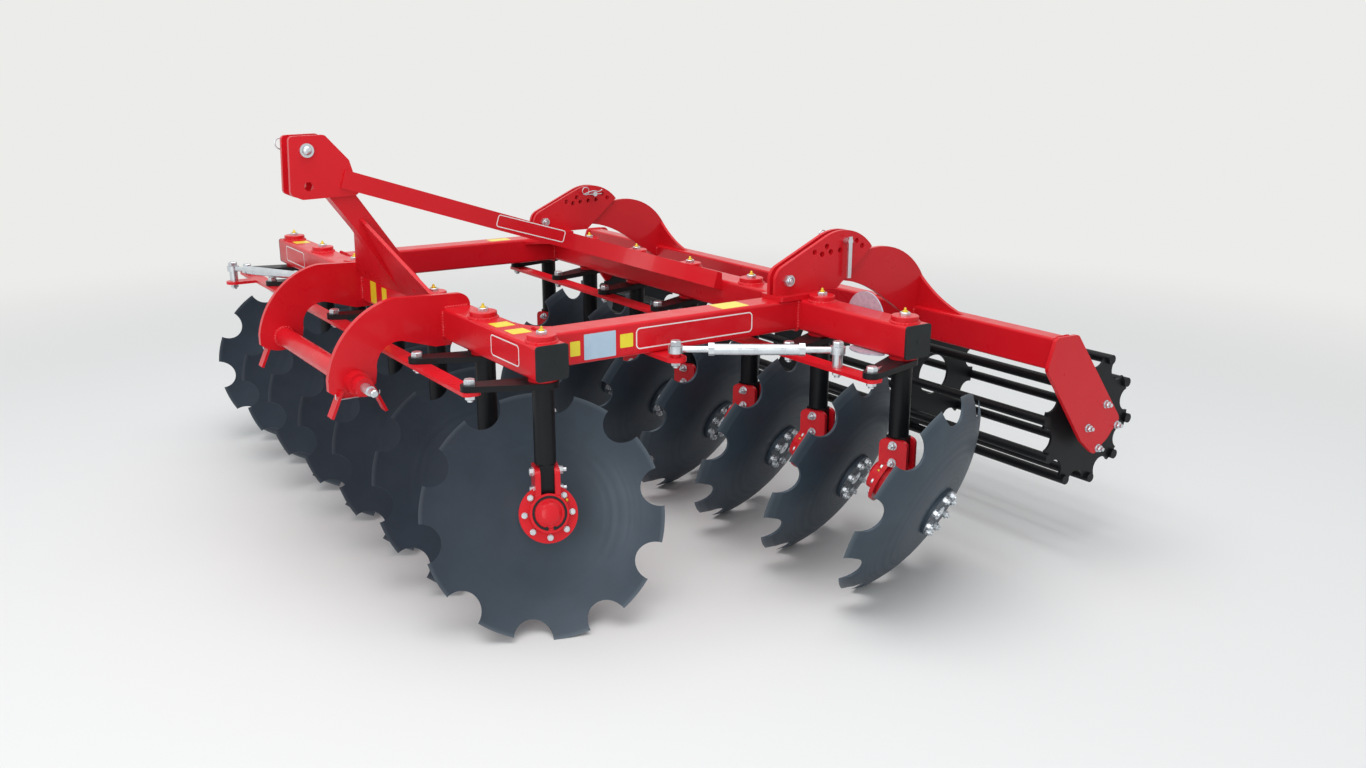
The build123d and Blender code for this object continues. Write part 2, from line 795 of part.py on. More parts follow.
# Disc in the same frame: a dished plate with a ground edge and round notches,
# a bolt ring on its back, and the spindle that runs in the hub
curve_radius = ((disc_radius - disc_flat) ** 2 + disc_dish**2) / (2 * disc_dish)
outer_curve = curve_radius + disc_thickness
bevel_start = disc_radius - disc_bevel
bevel_face = disc_face + curve_radius - (
    outer_curve**2 - (bevel_start - disc_flat) ** 2
) ** 0.5
with BuildPart() as disc:
    with BuildSketch(disc_section):
        with BuildLine():
            Line((0, disc_face), (disc_flat, disc_face))
            hollow_face = TangentArc(
                (disc_flat, disc_face), (disc_radius, -rim_setback), tangent=(1, 0)
            )
            Polyline(
                hollow_face @ 1,
                (disc_radius, -rim_setback - disc_edge),
                (bevel_start, bevel_face),
            )
            back_face = TangentArc(
                (disc_flat, disc_face - disc_thickness), (bevel_start, bevel_face), tangent=(1, 0)
            )
            Polyline(back_face @ 0, (0, disc_face - disc_thickness), (0, disc_face))
        make_face()
    revolve(axis=disc_axis)
    with BuildSketch(
        Plane(
            origin=disc_axis.position - disc_axis.direction * rim_setback,
            x_dir=(sin(radians(tilt)), 0, -cos(radians(tilt))),
            z_dir=disc_axis.direction,
        )
    ):
        with PolarLocations(disc_radius, notch_count, start_angle=180 / notch_count + notch_turn):
            Circle(notch_radius)
    extrude(amount=disc_dish, both=True, mode=Mode.SUBTRACT)
    with BuildSketch(disc_section):
        with BuildLine():
            ring_back = disc_face - disc_thickness - back_ring_thickness
            Polyline(
                (0, ring_back),
                (back_ring_radius, ring_back),
                (back_ring_radius, disc_face - disc_thickness),
                (carrier_radius, disc_face - disc_thickness),
                (carrier_radius, disc_face + carrier_thickness),
                (spindle_radius, disc_face + carrier_thickness),
                (spindle_radius, spindle_end),
                (0, spindle_end),
                close=True,
            )
        make_face()
    revolve(axis=disc_axis)

# Disc sets: every stalk, hub and disc placed at its station, turned so that
# the two rows throw the soil opposite ways
attack_cos = cos(radians(attack))
attack_sin = sin(radians(attack))
for row, row_x, row_y, facing in (
    ("front", front_x, front_y, 1),
    ("rear", rear_x, rear_y, -1),
):
    for number, station_x in enumerate(row_x, start=1):
        station = Plane(
            origin=(station_x, row_y, 0),
            x_dir=(facing * attack_cos, -attack_sin, 0),
            z_dir=(0, 0, 1),
        )
        for kind, unit in (("stalk", stalk_units[row]), ("hub", hub), ("disc", disc)):
            with BuildPart() as placed:
                with Locations(station):
                    add(unit.part)
            placed.part.label = f"{row}_{kind}_{number}"
            export_step(placed.part, f"parts/{row}_{kind}_{number}.step")

# Front tie bar: a flat bar under the levers with a pin up through each lever
# eye, and a strap ahead of it for the turnbuckle's pin
front_pins = [(x - swing, front_y - lever_ahead) for x in front_x]
tie_length = (discs_per_row - 1) * pitch + 2 * tie_overhang
with BuildPart() as front_tie_bar:
    with BuildSketch(Plane.XY.offset(tie_bottom)):
        with Locations((front_pins[0][0] / 2 + front_pins[-1][0] / 2, front_pins[0][1])):
            RectangleRounded(tie_length, tie_width, tie_width / 3)
        with Locations((front_pin[0], front_pin[1] + strap_reach / 2)):
            Rectangle(strap_width, strap_reach)
        with Locations(front_pin):
            Circle(strap_width / 2)
    extrude(amount=tie_thickness)
    with BuildSketch(Plane.XY.offset(tie_top)):
        with Locations(*front_pins):
            Circle(tie_pin_radius)
    extrude(amount=lever_thickness + 2 * thrust_gap)
    with BuildSketch(Plane.XY.offset(lever_top + thrust_gap)):
        with Locations(*front_pins):
            Circle(tie_head_radius)
    extrude(amount=tie_head_height)
    with BuildSketch(Plane.XY.offset(tie_top)):
        with Locations(front_pin):
            Circle(link_spacer_radius)
    extrude(amount=link_low - thrust_gap - tie_top)
    with BuildSketch(Plane.XY.offset(tie_top)):
        with Locations(front_pin):
            Circle(tie_pin_radius)
    extrude(amount=link_high + thrust_gap - tie_top)
    with BuildSketch(Plane.XY.offset(link_high + thrust_gap)):
        with Locations(front_pin):
            Circle(tie_head_radius)
    extrude(amount=tie_head_height)
front_tie_bar.part.label = "front_tie_bar"
export_step(front_tie_bar.part, "parts/front_tie_bar.step")

# Rear tie bar: the same bar, with the turnbuckle's pin on the bar itself
rear_pins = [(x + swing, rear_y - lever_ahead) for x in rear_x]
with BuildPart() as rear_tie_bar:
    with BuildSketch(Plane.XY.offset(tie_bottom)):
        with Locations((rear_pins[0][0] / 2 + rear_pins[-1][0] / 2, rear_pins[0][1])):
            RectangleRounded(tie_length, tie_width, tie_width / 3)
    extrude(amount=tie_thickness)
    with BuildSketch(Plane.XY.offset(tie_top)):
        with Locations(*rear_pins):
            Circle(tie_pin_radius)
    extrude(amount=lever_thickness + 2 * thrust_gap)
    with BuildSketch(Plane.XY.offset(lever_top + thrust_gap)):
        with Locations(*rear_pins):
            Circle(tie_head_radius)
    extrude(amount=tie_head_height)
    with BuildSketch(Plane.XY.offset(tie_top)):
        with Locations(rear_pin):
            Circle(link_spacer_radius)
    extrude(amount=link_low - thrust_gap - tie_top)
    with BuildSketch(Plane.XY.offset(tie_top)):
        with Locations(rear_pin):
            Circle(tie_pin_radius)
    extrude(amount=link_high + thrust_gap - tie_top)
    with BuildSketch(Plane.XY.offset(link_high + thrust_gap)):
        with Locations(rear_pin):
            Circle(tie_head_radius)
    extrude(amount=tie_head_height)
rear_tie_bar.part.label = "rear_tie_bar"
export_step(rear_tie_bar.part, "parts/rear_tie_bar.step")

# Turnbuckles: a barrel with its eye on the frame pivot, and a rod that screws
# into the barrel and carries the eye on the tie bar's pin
for row, pivot, pin in (
    ("front", front_pivot, front_pin),
    ("rear", rear_pivot, rear_pin),
):
    link_span = hypot(pin[0] - pivot[0], pin[1] - pivot[1])
    link_turn = degrees(atan2(pin[1] - pivot[1], pin[0] - pivot[0]))
    along = (cos(radians(link_turn)), sin(radians(link_turn)), 0)
    flat = Plane(origin=(*pivot, link_low), x_dir=along, z_dir=(0, 0, 1))
    sleeve_start = (link_span - link_sleeve_length) / 2
    sleeve_end = sleeve_start + link_sleeve_length
    across = Plane(origin=(*pivot, link_height), x_dir=(0, 0, 1), z_dir=along)

    with BuildPart() as barrel:
        with BuildSketch(flat):
            Circle(link_eye_radius)
        extrude(amount=link_eye_thickness)
        with BuildSketch(across):
            Circle(link_rod_radius)
        extrude(amount=sleeve_start)
        with BuildSketch(across.offset(sleeve_start)):
            Circle(link_sleeve_radius)
        extrude(amount=link_sleeve_length)
        with BuildSketch(across.offset(sleeve_start - link_nut_length)):
            RegularPolygon(link_nut_radius, 6)
        extrude(amount=link_nut_length)
        with BuildSketch(across.offset(sleeve_end)):
            RegularPolygon(link_nut_radius, 6)
        extrude(amount=link_nut_length)
        with BuildSketch(across.offset(sleeve_end + link_nut_length)):
            Circle(link_rod_radius + pin_clearance)
        extrude(
            amount=-link_nut_length - link_rod_inside - link_bore_spare, mode=Mode.SUBTRACT
        )
        with BuildSketch(flat):
            Circle(tie_pin_radius + pin_clearance)
        extrude(amount=link_eye_thickness, mode=Mode.SUBTRACT)
    barrel.part.label = f"{row}_turnbuckle_barrel"
    export_step(barrel.part, f"parts/{row}_turnbuckle_barrel.step")

    with BuildPart() as rod:
        with BuildSketch(flat):
            with Locations((link_span, 0)):
                Circle(link_eye_radius)
        extrude(amount=link_eye_thickness)
        with BuildSketch(across.offset(sleeve_end - link_rod_inside)):
            Circle(link_rod_radius)
        extrude(amount=link_span - sleeve_end + link_rod_inside)
        with BuildSketch(flat):
            with Locations((link_span, 0)):
                Circle(tie_pin_radius + link_eye_play)
        extrude(amount=link_eye_thickness, mode=Mode.SUBTRACT)
    rod.part.label = f"{row}_turnbuckle_rod"
    export_step(rod.part, f"parts/{row}_turnbuckle_rod.step")

# Roller frame: two curved arms from the brackets to a cross tube, gussets on
# the tube, slanted end plates and the bearing housings inside them
tube_top = tube_bottom + tube_height
tube_middle = tube_bottom + tube_height / 2
tube_front = tube_behind - tube_depth / 2
with BuildSketch(rear_side) as arm_profile:
    with BuildLine():
        back = Line((-hinge_ahead, hinge_height + arm_boss_radius), (288, hinge_height + 66))
        crest = TangentArc(
            back @ 1, (tube_behind, tube_top + arm_gusset_rise), tangent=back % 1
        )
        Polyline(
            crest @ 1,
            (tube_behind, tube_top),
            (tube_behind, tube_middle),
            (tube_front, tube_middle),
        )
        belly = Line((tube_front, tube_middle), (306, hinge_height - 80))
        ThreePointArc(belly @ 1, (196, hinge_height - 33), (60, hinge_height - 24))
        Line((60, hinge_height - 24), (-hinge_ahead, hinge_height - arm_boss_radius + 6))
        Line((-hinge_ahead, hinge_height - arm_boss_radius + 6), back @ 0)
    make_face()
    with Locations((-hinge_ahead, hinge_height)):
        Circle(arm_boss_radius)
    with Locations((-hinge_ahead, hinge_height)):
        Circle(hinge_radius + pin_clearance, mode=Mode.SUBTRACT)

tube_y = rear_y + tube_behind
roller_y = rear_y + roller_behind
with BuildPart() as roller_frame:
    with BuildSketch(
        Plane(origin=(-end_plate_x, tube_y, tube_middle), x_dir=(0, 1, 0), z_dir=(1, 0, 0))
    ):
        RectangleRounded(tube_depth, tube_height, tube_corner)
        RectangleRounded(
            tube_depth - 2 * tube_wall,
            tube_height - 2 * tube_wall,
            max(tube_corner - tube_wall, 1),
            mode=Mode.SUBTRACT,
        )
    extrude(amount=2 * end_plate_x)
    with BuildSketch(rear_side.offset(arm_x - arm_thickness / 2)):
        add(arm_profile.sketch_local)
        with Locations((tube_behind, tube_middle)):
            RectangleRounded(tube_depth, tube_height, tube_corner, mode=Mode.SUBTRACT)
    extrude(amount=arm_thickness)
    for out in (-1, 1):
        with BuildSketch(
            Plane(
                origin=(arm_x + out * arm_thickness / 2, tube_y - arm_gusset_plate / 2, tube_top),
                x_dir=(out, 0, 0),
                z_dir=(0, -out, 0),
            )
        ):
            with BuildLine():
                Polyline((0, arm_gusset_rise), (0, 0), (arm_gusset_reach, 0))
                ThreePointArc(
                    (arm_gusset_reach, 0),
                    (arm_gusset_reach * 0.43, arm_gusset_rise * 0.42),
                    (0, arm_gusset_rise),
                )
            make_face()
        extrude(amount=arm_gusset_plate / 2, both=True)
    with BuildSketch(front_side.offset(end_plate_x)) as end_plate:
        tube_at = tube_y - front_y
        axle_at = roller_y - front_y
        with BuildLine():
            Polyline(
                (tube_at - 36, tube_middle + 53),
                (tube_at + 60, tube_middle + 51),
                (axle_at + 88, roller_axis_height + 1),
                (axle_at - 26, roller_axis_height - 96),
                (axle_at - 93, roller_axis_height - 41),
                (tube_at - 67, tube_middle - 40),
                close=True,
            )
        make_face()
        fillet(end_plate.vertices(), end_plate_corner)
    extrude(amount=end_plate_thickness)
    with BuildSketch(front_side.offset(end_plate_x)):
        with Locations((axle_at, roller_axis_height)):
            Circle(bearing_flange_radius)
    extrude(amount=-bearing_flange_thickness)
    with BuildSketch(front_side.offset(end_plate_x)):
        with Locations((axle_at, roller_axis_height)):
            Circle(bearing_radius)
    extrude(amount=-bearing_length)
    with BuildSketch(front_side.offset(end_plate_x)):
        with Locations((axle_at, roller_axis_height)):
            Circle(stub_radius + stub_clearance)
    extrude(amount=-bearing_length, mode=Mode.SUBTRACT)
    mirror(about=Plane.YZ)
roller_frame.part.label = "roller_frame"
export_step(roller_frame.part, "parts/roller_frame.step")

# Roller: a cage of round bars in seats on the rims of scalloped plates, with a
# stub at each end
cage_plate_x = bar_end_x - cage_plate_inset
stub_end = end_plate_x - stub_end_gap
with BuildPart() as roller:
    roller_end = Plane(
        origin=(-bar_end_x, roller_y, roller_axis_height), x_dir=(0, 0, 1), z_dir=(-1, 0, 0)
    )
    with BuildSketch(roller_end):
        with PolarLocations(bar_circle, bar_count, start_angle=bar_phase):
            Circle(bar_radius)
    extrude(amount=-2 * bar_end_x)
    for plate in range(cage_plate_count):
        plate_x = -cage_plate_x + plate * (2 * cage_plate_x - cage_plate) / (cage_plate_count - 1)
        with BuildSketch(roller_end.offset(-bar_end_x - plate_x)):
            Circle(bar_circle)
            with PolarLocations(
                bar_circle, bar_count, start_angle=bar_phase + 180 / bar_count
            ):
                Circle(cage_scallop_radius, mode=Mode.SUBTRACT)
            with PolarLocations(bar_circle, bar_count, start_angle=bar_phase):
                Circle(bar_radius + bar_seat, mode=Mode.SUBTRACT)
            if 0 < plate < cage_plate_count - 1:
                Circle(cage_hole_radius, mode=Mode.SUBTRACT)
        extrude(amount=-cage_plate)
    with BuildSketch(roller_end.offset(cage_plate_x - bar_end_x - cage_plate)):
        Circle(stub_radius)
    extrude(amount=stub_end - cage_plate_x + cage_plate)
    with BuildSketch(roller_end.offset(-bar_end_x - cage_plate_x + cage_plate)):
        Circle(stub_radius)
    extrude(amount=-stub_end + cage_plate_x - cage_plate)
roller.part.label = "roller"
export_step(roller.part, "parts/roller.step")
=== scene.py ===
import bmesh
import bpy
import numpy as np
from mathutils import Matrix, Vector


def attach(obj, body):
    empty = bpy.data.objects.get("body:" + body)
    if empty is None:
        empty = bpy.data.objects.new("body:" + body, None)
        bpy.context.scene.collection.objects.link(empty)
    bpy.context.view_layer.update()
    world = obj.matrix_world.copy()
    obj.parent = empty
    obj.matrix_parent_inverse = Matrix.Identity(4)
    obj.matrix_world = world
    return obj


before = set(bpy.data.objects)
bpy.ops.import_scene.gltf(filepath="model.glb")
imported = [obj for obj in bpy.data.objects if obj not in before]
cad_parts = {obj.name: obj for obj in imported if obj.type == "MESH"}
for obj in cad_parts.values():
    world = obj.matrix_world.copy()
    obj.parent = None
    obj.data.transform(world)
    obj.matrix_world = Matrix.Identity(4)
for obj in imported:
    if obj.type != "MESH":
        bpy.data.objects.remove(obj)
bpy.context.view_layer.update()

# Main frame: two cross beams and two side beams of square steel tube, welded
# into a rectangle, with turned bushes through the cross beams for the stalks.
# The whole weldment is shot-blasted and sprayed with red enamel.


def linear(code):
    """Linear colour of an sRGB hex value: ((c + 0.055) / 1.055) ^ 2.4 above the toe, c / 12.92 below."""
    c = np.array([int(code[i : i + 2], 16) for i in (1, 3, 5)]) / 255
    low, high = c / 12.92, ((c + 0.055) / 1.055) ** 2.4
    return (*np.where(c <= 0.04045, low, high).tolist(), 1.0)


def add(tree, kind, inputs, **settings):
    """Adds one shader node, gives it its settings, and fills its sockets with values or links."""
    made = tree.nodes.new(kind)
    for key, value in settings.items():
        setattr(made, key, value)
    for key, value in inputs.items():
        if isinstance(value, bpy.types.NodeSocket):
            tree.links.new(value, made.inputs[key])
        else:
            made.inputs[key].default_value = value
    return made


def finish(name):
    """A new material with its nodes cleared, and its node tree."""
    made = bpy.data.materials.new(name)
    made.use_nodes = True
    made.node_tree.nodes.clear()
    return made, made.node_tree


# Sprayed enamel on steel: a bright red that drifts a little between coats, a
# thin gloss, and orange peel. Real orange peel is about 2 mm across and is
# drawn at 9 mm so that it shows. Sockets 6 and 7 of a mix are its two colours.
red_enamel, tree = finish("red_spray_enamel")
where = add(tree, "ShaderNodeTexCoord", {}).outputs["Object"]
drift = add(tree, "ShaderNodeTexNoise", {"Vector": where, "Scale": 1 / 0.45, "Detail": 3.0})
peel = add(tree, "ShaderNodeTexNoise", {"Vector": where, "Scale": 1 / 0.009, "Detail": 2.0})
dust = add(tree, "ShaderNodeTexNoise", {"Vector": where, "Scale": 1 / 0.06, "Detail": 6.0})
tone = add(
    tree,
    "ShaderNodeMix",
    {"Factor": drift.outputs["Fac"], 6: linear("#c6121c"), 7: linear("#de1c2a")},
    data_type="RGBA",
)
haze = add(
    tree,
    "ShaderNodeMapRange",
    {"Value": dust.outputs["Fac"], "From Min": 0.3, "From Max": 0.75, "To Min": 0.26, "To Max": 0.4},
)
skin = add(
    tree,
    "ShaderNodeBump",
    {"Height": peel.outputs["Fac"], "Strength": 0.06, "Distance": 0.001},
)
shader = add(
    tree,
    "ShaderNodeBsdfPrincipled",
    {
        "Base Color": tone.outputs[2],
        "Roughness": haze.outputs["Result"],
        "Normal": skin.outputs["Normal"],
        "IOR": 1.5,
        "Specular IOR Level": 0.2,
        "Coat Weight": 0.2,
        "Coat Roughness": 0.08,
    },
)
add(tree, "ShaderNodeOutputMaterial", {"Surface": shader.outputs["BSDF"]})


def paint(finish_of_node, *names):
    """Puts a finish on the material slot of each named CAD node."""
    for name in names:
        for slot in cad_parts[name].material_slots:
            slot.material = finish_of_node


paint(red_enamel, "cross_beams", "side_beams", "stalk_bushes")

# Welds of the frame: beads round each side beam's ends and round every bush,
# laid by hand and painted over. Real ripples are 3 to 4 mm apart and are drawn
# at 8 mm so that they show.


def quads(rows, columns, loop=False, ring=True):
    """Quads of a grid of rows by columns; ring closes the columns on themselves, loop closes the rows."""
    r = np.arange(rows if loop else rows - 1)[:, None]
    c = np.arange(columns if ring else columns - 1)[None, :]
    r2, c2 = (r + 1) % rows, (c + 1) % columns
    faces = np.stack(
        [r * columns + c, r * columns + c2, r2 * columns + c2, r2 * columns + c], -1
    )
    return faces.reshape(-1, 4)


def joined(*shapes):
    """Several (points, quads) shapes as one: each shape's quads are moved on by the points before it."""
    start = np.cumsum([0] + [len(points) for points, _ in shapes[:-1]])
    return (
        np.concatenate([points for points, _ in shapes]),
        np.concatenate([faces + s for (_, faces), s in zip(shapes, start)]),
    )


def put(name, shape, body, coat):
    """Makes a shape a piece that rides on a body: doubled points are merged and faces turn outward."""
    mesh = bpy.data.meshes.new(name)
    mesh.from_pydata(shape[0].tolist(), [], shape[1].tolist())
    work = bmesh.new()
    work.from_mesh(mesh)
    bmesh.ops.remove_doubles(work, verts=work.verts, dist=2e-6)
    bmesh.ops.recalc_face_normals(work, faces=work.faces)
    work.to_mesh(mesh)
    work.free()
    mesh.polygons.foreach_set("use_smooth", np.ones(len(mesh.polygons), bool))
    mesh.set_sharp_from_angle(angle=np.radians(34))
    mesh.materials.append(coat)
    piece = bpy.data.objects.new(name, mesh)
    bpy.context.scene.collection.objects.link(piece)
    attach(piece, body)


def even(points, step, closed):
    """Points at equal steps along a polyline, by linear interpolation on its running length."""
    if closed:
        points = np.concatenate([points, points[:1]])
    run = np.concatenate([[0], np.cumsum(np.linalg.norm(np.diff(points, axis=0), axis=1))])
    count = max(4, int(round(run[-1] / step)))
    s = np.linspace(0, run[-1], count, endpoint=not closed)
    return np.stack([np.interp(s, run, points[:, k]) for k in range(3)], -1), s


def weld(path, s, along, across, leg, closed):
    """Fillet weld: at each path point an arc of radius leg from one plate's direction to the other's,
    cos(f) along + sin(f) across, swelling once every 8 mm; open ends shrink to nothing."""
    swell = 1 + 0.13 * np.cos(2 * np.pi * s / 0.008)
    if not closed:
        swell = swell * np.sqrt(np.clip(np.minimum(s, s[-1] - s) / leg, 0, 1))
    f = np.linspace(-0.12, np.pi / 2 + 0.12, 6)
    along, across = (np.broadcast_to(v, path.shape)[:, None, :] for v in (along, across))
    arc = np.cos(f)[None, :, None] * along + np.sin(f)[None, :, None] * across
    root = -0.25 * (along + across)
    section = np.concatenate([arc, root], 1)
    grid = path[:, None, :] + leg * swell[:, None, None] * section
    return grid.reshape(-1, 3), quads(len(path), 7, loop=closed)


front_y, rear_y = -0.733, 0.197
beam_top, beam_middle, beam_bottom, beam_half = 0.792, 0.746, 0.700, 0.046
side_beam_x, bush_radius = 0.76014, 0.038
pitch = 2.4 / 7
bead_step = 0.0027
stalk_x = (np.arange(7) - 3.5) * pitch
stations = np.array([(x, front_y) for x in stalk_x] + [(x + pitch, rear_y) for x in stalk_x])
turn = np.linspace(0, 2 * np.pi, 24, endpoint=False)
corner_arc = np.stack([np.cos(turn + 0.13), np.sin(turn + 0.13)], -1)
corner = np.sign(corner_arc)
beam_flat, beam_bend = 0.037, 0.009
outline = corner * beam_flat + beam_bend * corner_arc
beads = []
for x in (-side_beam_x, side_beam_x):
    for y, away in ((front_y + beam_half, 1.0), (rear_y - beam_half, -1.0)):
        ring = np.stack([outline[:, 0] + x, np.full(24, y), outline[:, 1] + beam_middle], -1)
        path, s = even(ring, bead_step, True)
        outward = path - np.array([x, y, beam_middle])
        # On a flat the bead leans straight out, and at a corner it leans both ways.
        edge = np.abs(outward[:, [0, 2]]).max(1, keepdims=True)
        outward = np.where(np.abs(outward) > edge - 0.004, np.sign(outward), 0.0)
        outward /= np.linalg.norm(outward, axis=1, keepdims=True)
        beads.append(weld(path, s, (0.0, away, 0.0), outward, 0.006, True))
circle = np.stack([np.cos(turn), np.sin(turn), 0 * turn], -1)
for x, y in stations:
    path, s = even(np.array([x, y, beam_top]) + bush_radius * circle, bead_step, True)
    radial = (path - np.array([x, y, beam_top])) / bush_radius
    beads.append(weld(path, s, radial, (0.0, 0.0, 1.0), 0.005, True))
put("frame_welds", joined(*beads), "frame", red_enamel)

# Grease plugs: a zinc-plated hexagon plug in the top of every bush, with a
# yellow-passivated nipple screwed into it for greasing the stalk.

# Bright zinc plate: a bluish white metal with a soft shine, which clouds a
# little over some 30 mm.
bright_zinc, tree = finish("bright_zinc_plate")
where = add(tree, "ShaderNodeTexCoord", {}).outputs["Object"]
cloud = add(tree, "ShaderNodeTexNoise", {"Vector": where, "Scale": 1 / 0.03, "Detail": 2.0})
tone = add(
    tree,
    "ShaderNodeMix",
    {"Factor": cloud.outputs["Fac"], 6: linear("#bfc7cd"), 7: linear("#e4e9ed")},
    data_type="RGBA",
)
gloss = add(
    tree,
    "ShaderNodeMapRange",
    {"Value": cloud.outputs["Fac"], "From Min": 0.3, "From Max": 0.7, "To Min": 0.24, "To Max": 0.36},
)
shader = add(
    tree,
    "ShaderNodeBsdfPrincipled",
    {
        "Base Color": tone.outputs[2],
        "Metallic": 0.88,
        "Roughness": gloss.outputs["Result"],
    },
)
add(tree, "ShaderNodeOutputMaterial", {"Surface": shader.outputs["BSDF"]})

# Yellow passivated zinc: a straw-yellow film with a warm, uneven sheen. Its
# bands are about 1 mm wide and are drawn at 6 mm so that they show.
yellow_zinc, tree = finish("yellow_passivated_zinc")
where = add(tree, "ShaderNodeTexCoord", {}).outputs["Object"]
sheen = add(tree, "ShaderNodeTexNoise", {"Vector": where, "Scale": 1 / 0.006, "Detail": 3.0})
tone = add(
    tree,
    "ShaderNodeMix",
    {"Factor": sheen.outputs["Fac"], 6: linear("#d9b21c"), 7: linear("#f4dc5a")},
    data_type="RGBA",
)
shader = add(
    tree,
    "ShaderNodeBsdfPrincipled",
    {"Base Color": tone.outputs[2], "Metallic": 0.6, "Roughness": 0.3},
)
add(tree, "ShaderNodeOutputMaterial", {"Surface": shader.outputs["BSDF"]})


def turned(profile, steps=12):
    """A turned shape about Z: each (radius, height) of the profile carried round in equal steps."""
    profile = np.asarray(profile, float)
    t = np.linspace(0, 2 * np.pi, steps, endpoint=False)
    grid = np.stack(
        [
            profile[:, :1] * np.cos(t),
            profile[:, :1] * np.sin(t),
            np.broadcast_to(profile[:, 1:], (len(profile), steps)),
        ],
        -1,
    )
    return grid.reshape(-1, 3), quads(len(profile), steps)


def hexed(flats, height, washer=0.0, stud=0.0, thread=0.0):
    """A hexagon head or nut standing on Z = 0: radius flats / 2 at the middle of a flat and
    flats / (2 cos 30) at a corner, a round chamfer on top, a washer below it, and above it a
    thread end, stud long and thread across."""
    t = np.arange(12) * np.pi / 6
    corner_radius = np.where(np.arange(12) % 2 == 0, flats / 2 / np.cos(np.pi / 6), flats / 2)
    even_radius = np.ones(12)
    lift = 0.0025 if washer else 0.0
    rows = [(0 * even_radius, 0.0)]
    if washer:
        rows += [(washer / 2 * even_radius, 0.0), (washer / 2 * even_radius, lift)]
    rows += [
        (corner_radius, lift),
        (corner_radius, lift + 0.84 * height),
        (0.47 * flats * even_radius, lift + height),
    ]
    if stud:
        rows += [
            (thread / 2 * even_radius, lift + height),
            (thread / 2 * even_radius, lift + height + 0.85 * stud),
            (0.38 * thread * even_radius, lift + height + stud),
        ]
    rows.append((0 * even_radius, rows[-1][1]))
    grid = np.stack([np.stack([r * np.cos(t), r * np.sin(t), 0 * t + z], -1) for r, z in rows])
    return grid.reshape(-1, 3), quads(len(rows), 12)


def placed(shape, points, directions):
    """Copies of a shape with its base at each point and its Z along each direction."""
    points = np.atleast_2d(np.asarray(points, float))
    z = np.broadcast_to(np.asarray(directions, float), points.shape)
    z = z / np.linalg.norm(z, axis=1, keepdims=True)
    aside = np.where(np.abs(z[:, 2:]) < 0.9, np.array([[0.0, 0, 1]]), np.array([[1.0, 0, 0]]))
    x = np.cross(aside, z)
    x /= np.linalg.norm(x, axis=1, keepdims=True)
    y = np.cross(z, x)
    axes = np.stack([x, y, z], 1)
    copies = points[:, None, :] + np.einsum("mk,nkj->nmj", shape[0], axes)
    start = np.arange(len(points))[:, None, None] * len(shape[0])
    return copies.reshape(-1, 3), (shape[1][None] + start).reshape(-1, 4)


bush_top, plug_height = 0.810, 0.009
bush_tops = np.column_stack([stations, np.full(14, bush_top)])
plug = hexed(0.027, plug_height)
put("grease_plugs", placed(plug, bush_tops, (0, 0, 1)), "frame", bright_zinc)
nipple_feet = bush_tops + np.array([0, 0, plug_height])
bush_nipple = turned(
    [
        (0, 0),
        (0.0085, 0),
        (0.0085, 0.0025),
        (0.0050, 0.0040),
        (0.0034, 0.0070),
        (0.0040, 0.0085),
        (0.0024, 0.0115),
        (0, 0.0120),
    ],
    16,
)
put("grease_nipples", placed(bush_nipple, nipple_feet, (0, 0, 1)), "frame", yellow_zinc)

# Beam end caps: square covers of black polyethylene, injection-moulded and
# pressed into the tube ends, with the mark of the sprue in the middle.

# Moulded polyethylene: near black and matt, with a spark-eroded grain. Real
# grain is about 0.1 mm across and is drawn at 4 mm so that it shows.
black_plastic, tree = finish("moulded_black_polyethylene")
where = add(tree, "ShaderNodeTexCoord", {}).outputs["Object"]
grit = add(tree, "ShaderNodeTexVoronoi", {"Vector": where, "Scale": 1 / 0.004})
bump = add(
    tree, "ShaderNodeBump", {"Height": grit.outputs["Distance"], "Strength": 0.15, "Distance": 0.001}
)
shade = add(tree, "ShaderNodeTexNoise", {"Vector": where, "Scale": 1 / 0.05, "Detail": 3.0})
tone = add(
    tree,
    "ShaderNodeMix",
    {"Factor": shade.outputs["Fac"], 6: linear("#15181a"), 7: linear("#23292b")},
    data_type="RGBA",
)
shader = add(
    tree,
    "ShaderNodeBsdfPrincipled",
    {
        "Base Color": tone.outputs[2],
        "Roughness": 0.55,
        "IOR": 1.51,
        "Specular IOR Level": 0.3,
        "Normal": bump.outputs["Normal"],
    },
)
add(tree, "ShaderNodeOutputMaterial", {"Surface": shader.outputs["BSDF"]})
paint(black_plastic, "beam_end_caps")

cap_reach = 0.056
cap_points = np.array(
    [
        (x + side * cap_reach, y, beam_middle)
        for row, y in ((stalk_x, front_y), (stalk_x + pitch, rear_y))
        for x, side in ((row[0], -1), (row[-1], 1))
    ]
)
dimple = turned([(0, 0), (0.006, 0), (0.006, 0.0008), (0.004, 0.0014), (0, 0.0014)], 16)
put(
    "cap_sprue_marks",
    placed(dimple, cap_points, np.column_stack([np.sign(cap_points[:, 0]), 0 * cap_points[:, :2]])),
    "frame",
    black_plastic,
)

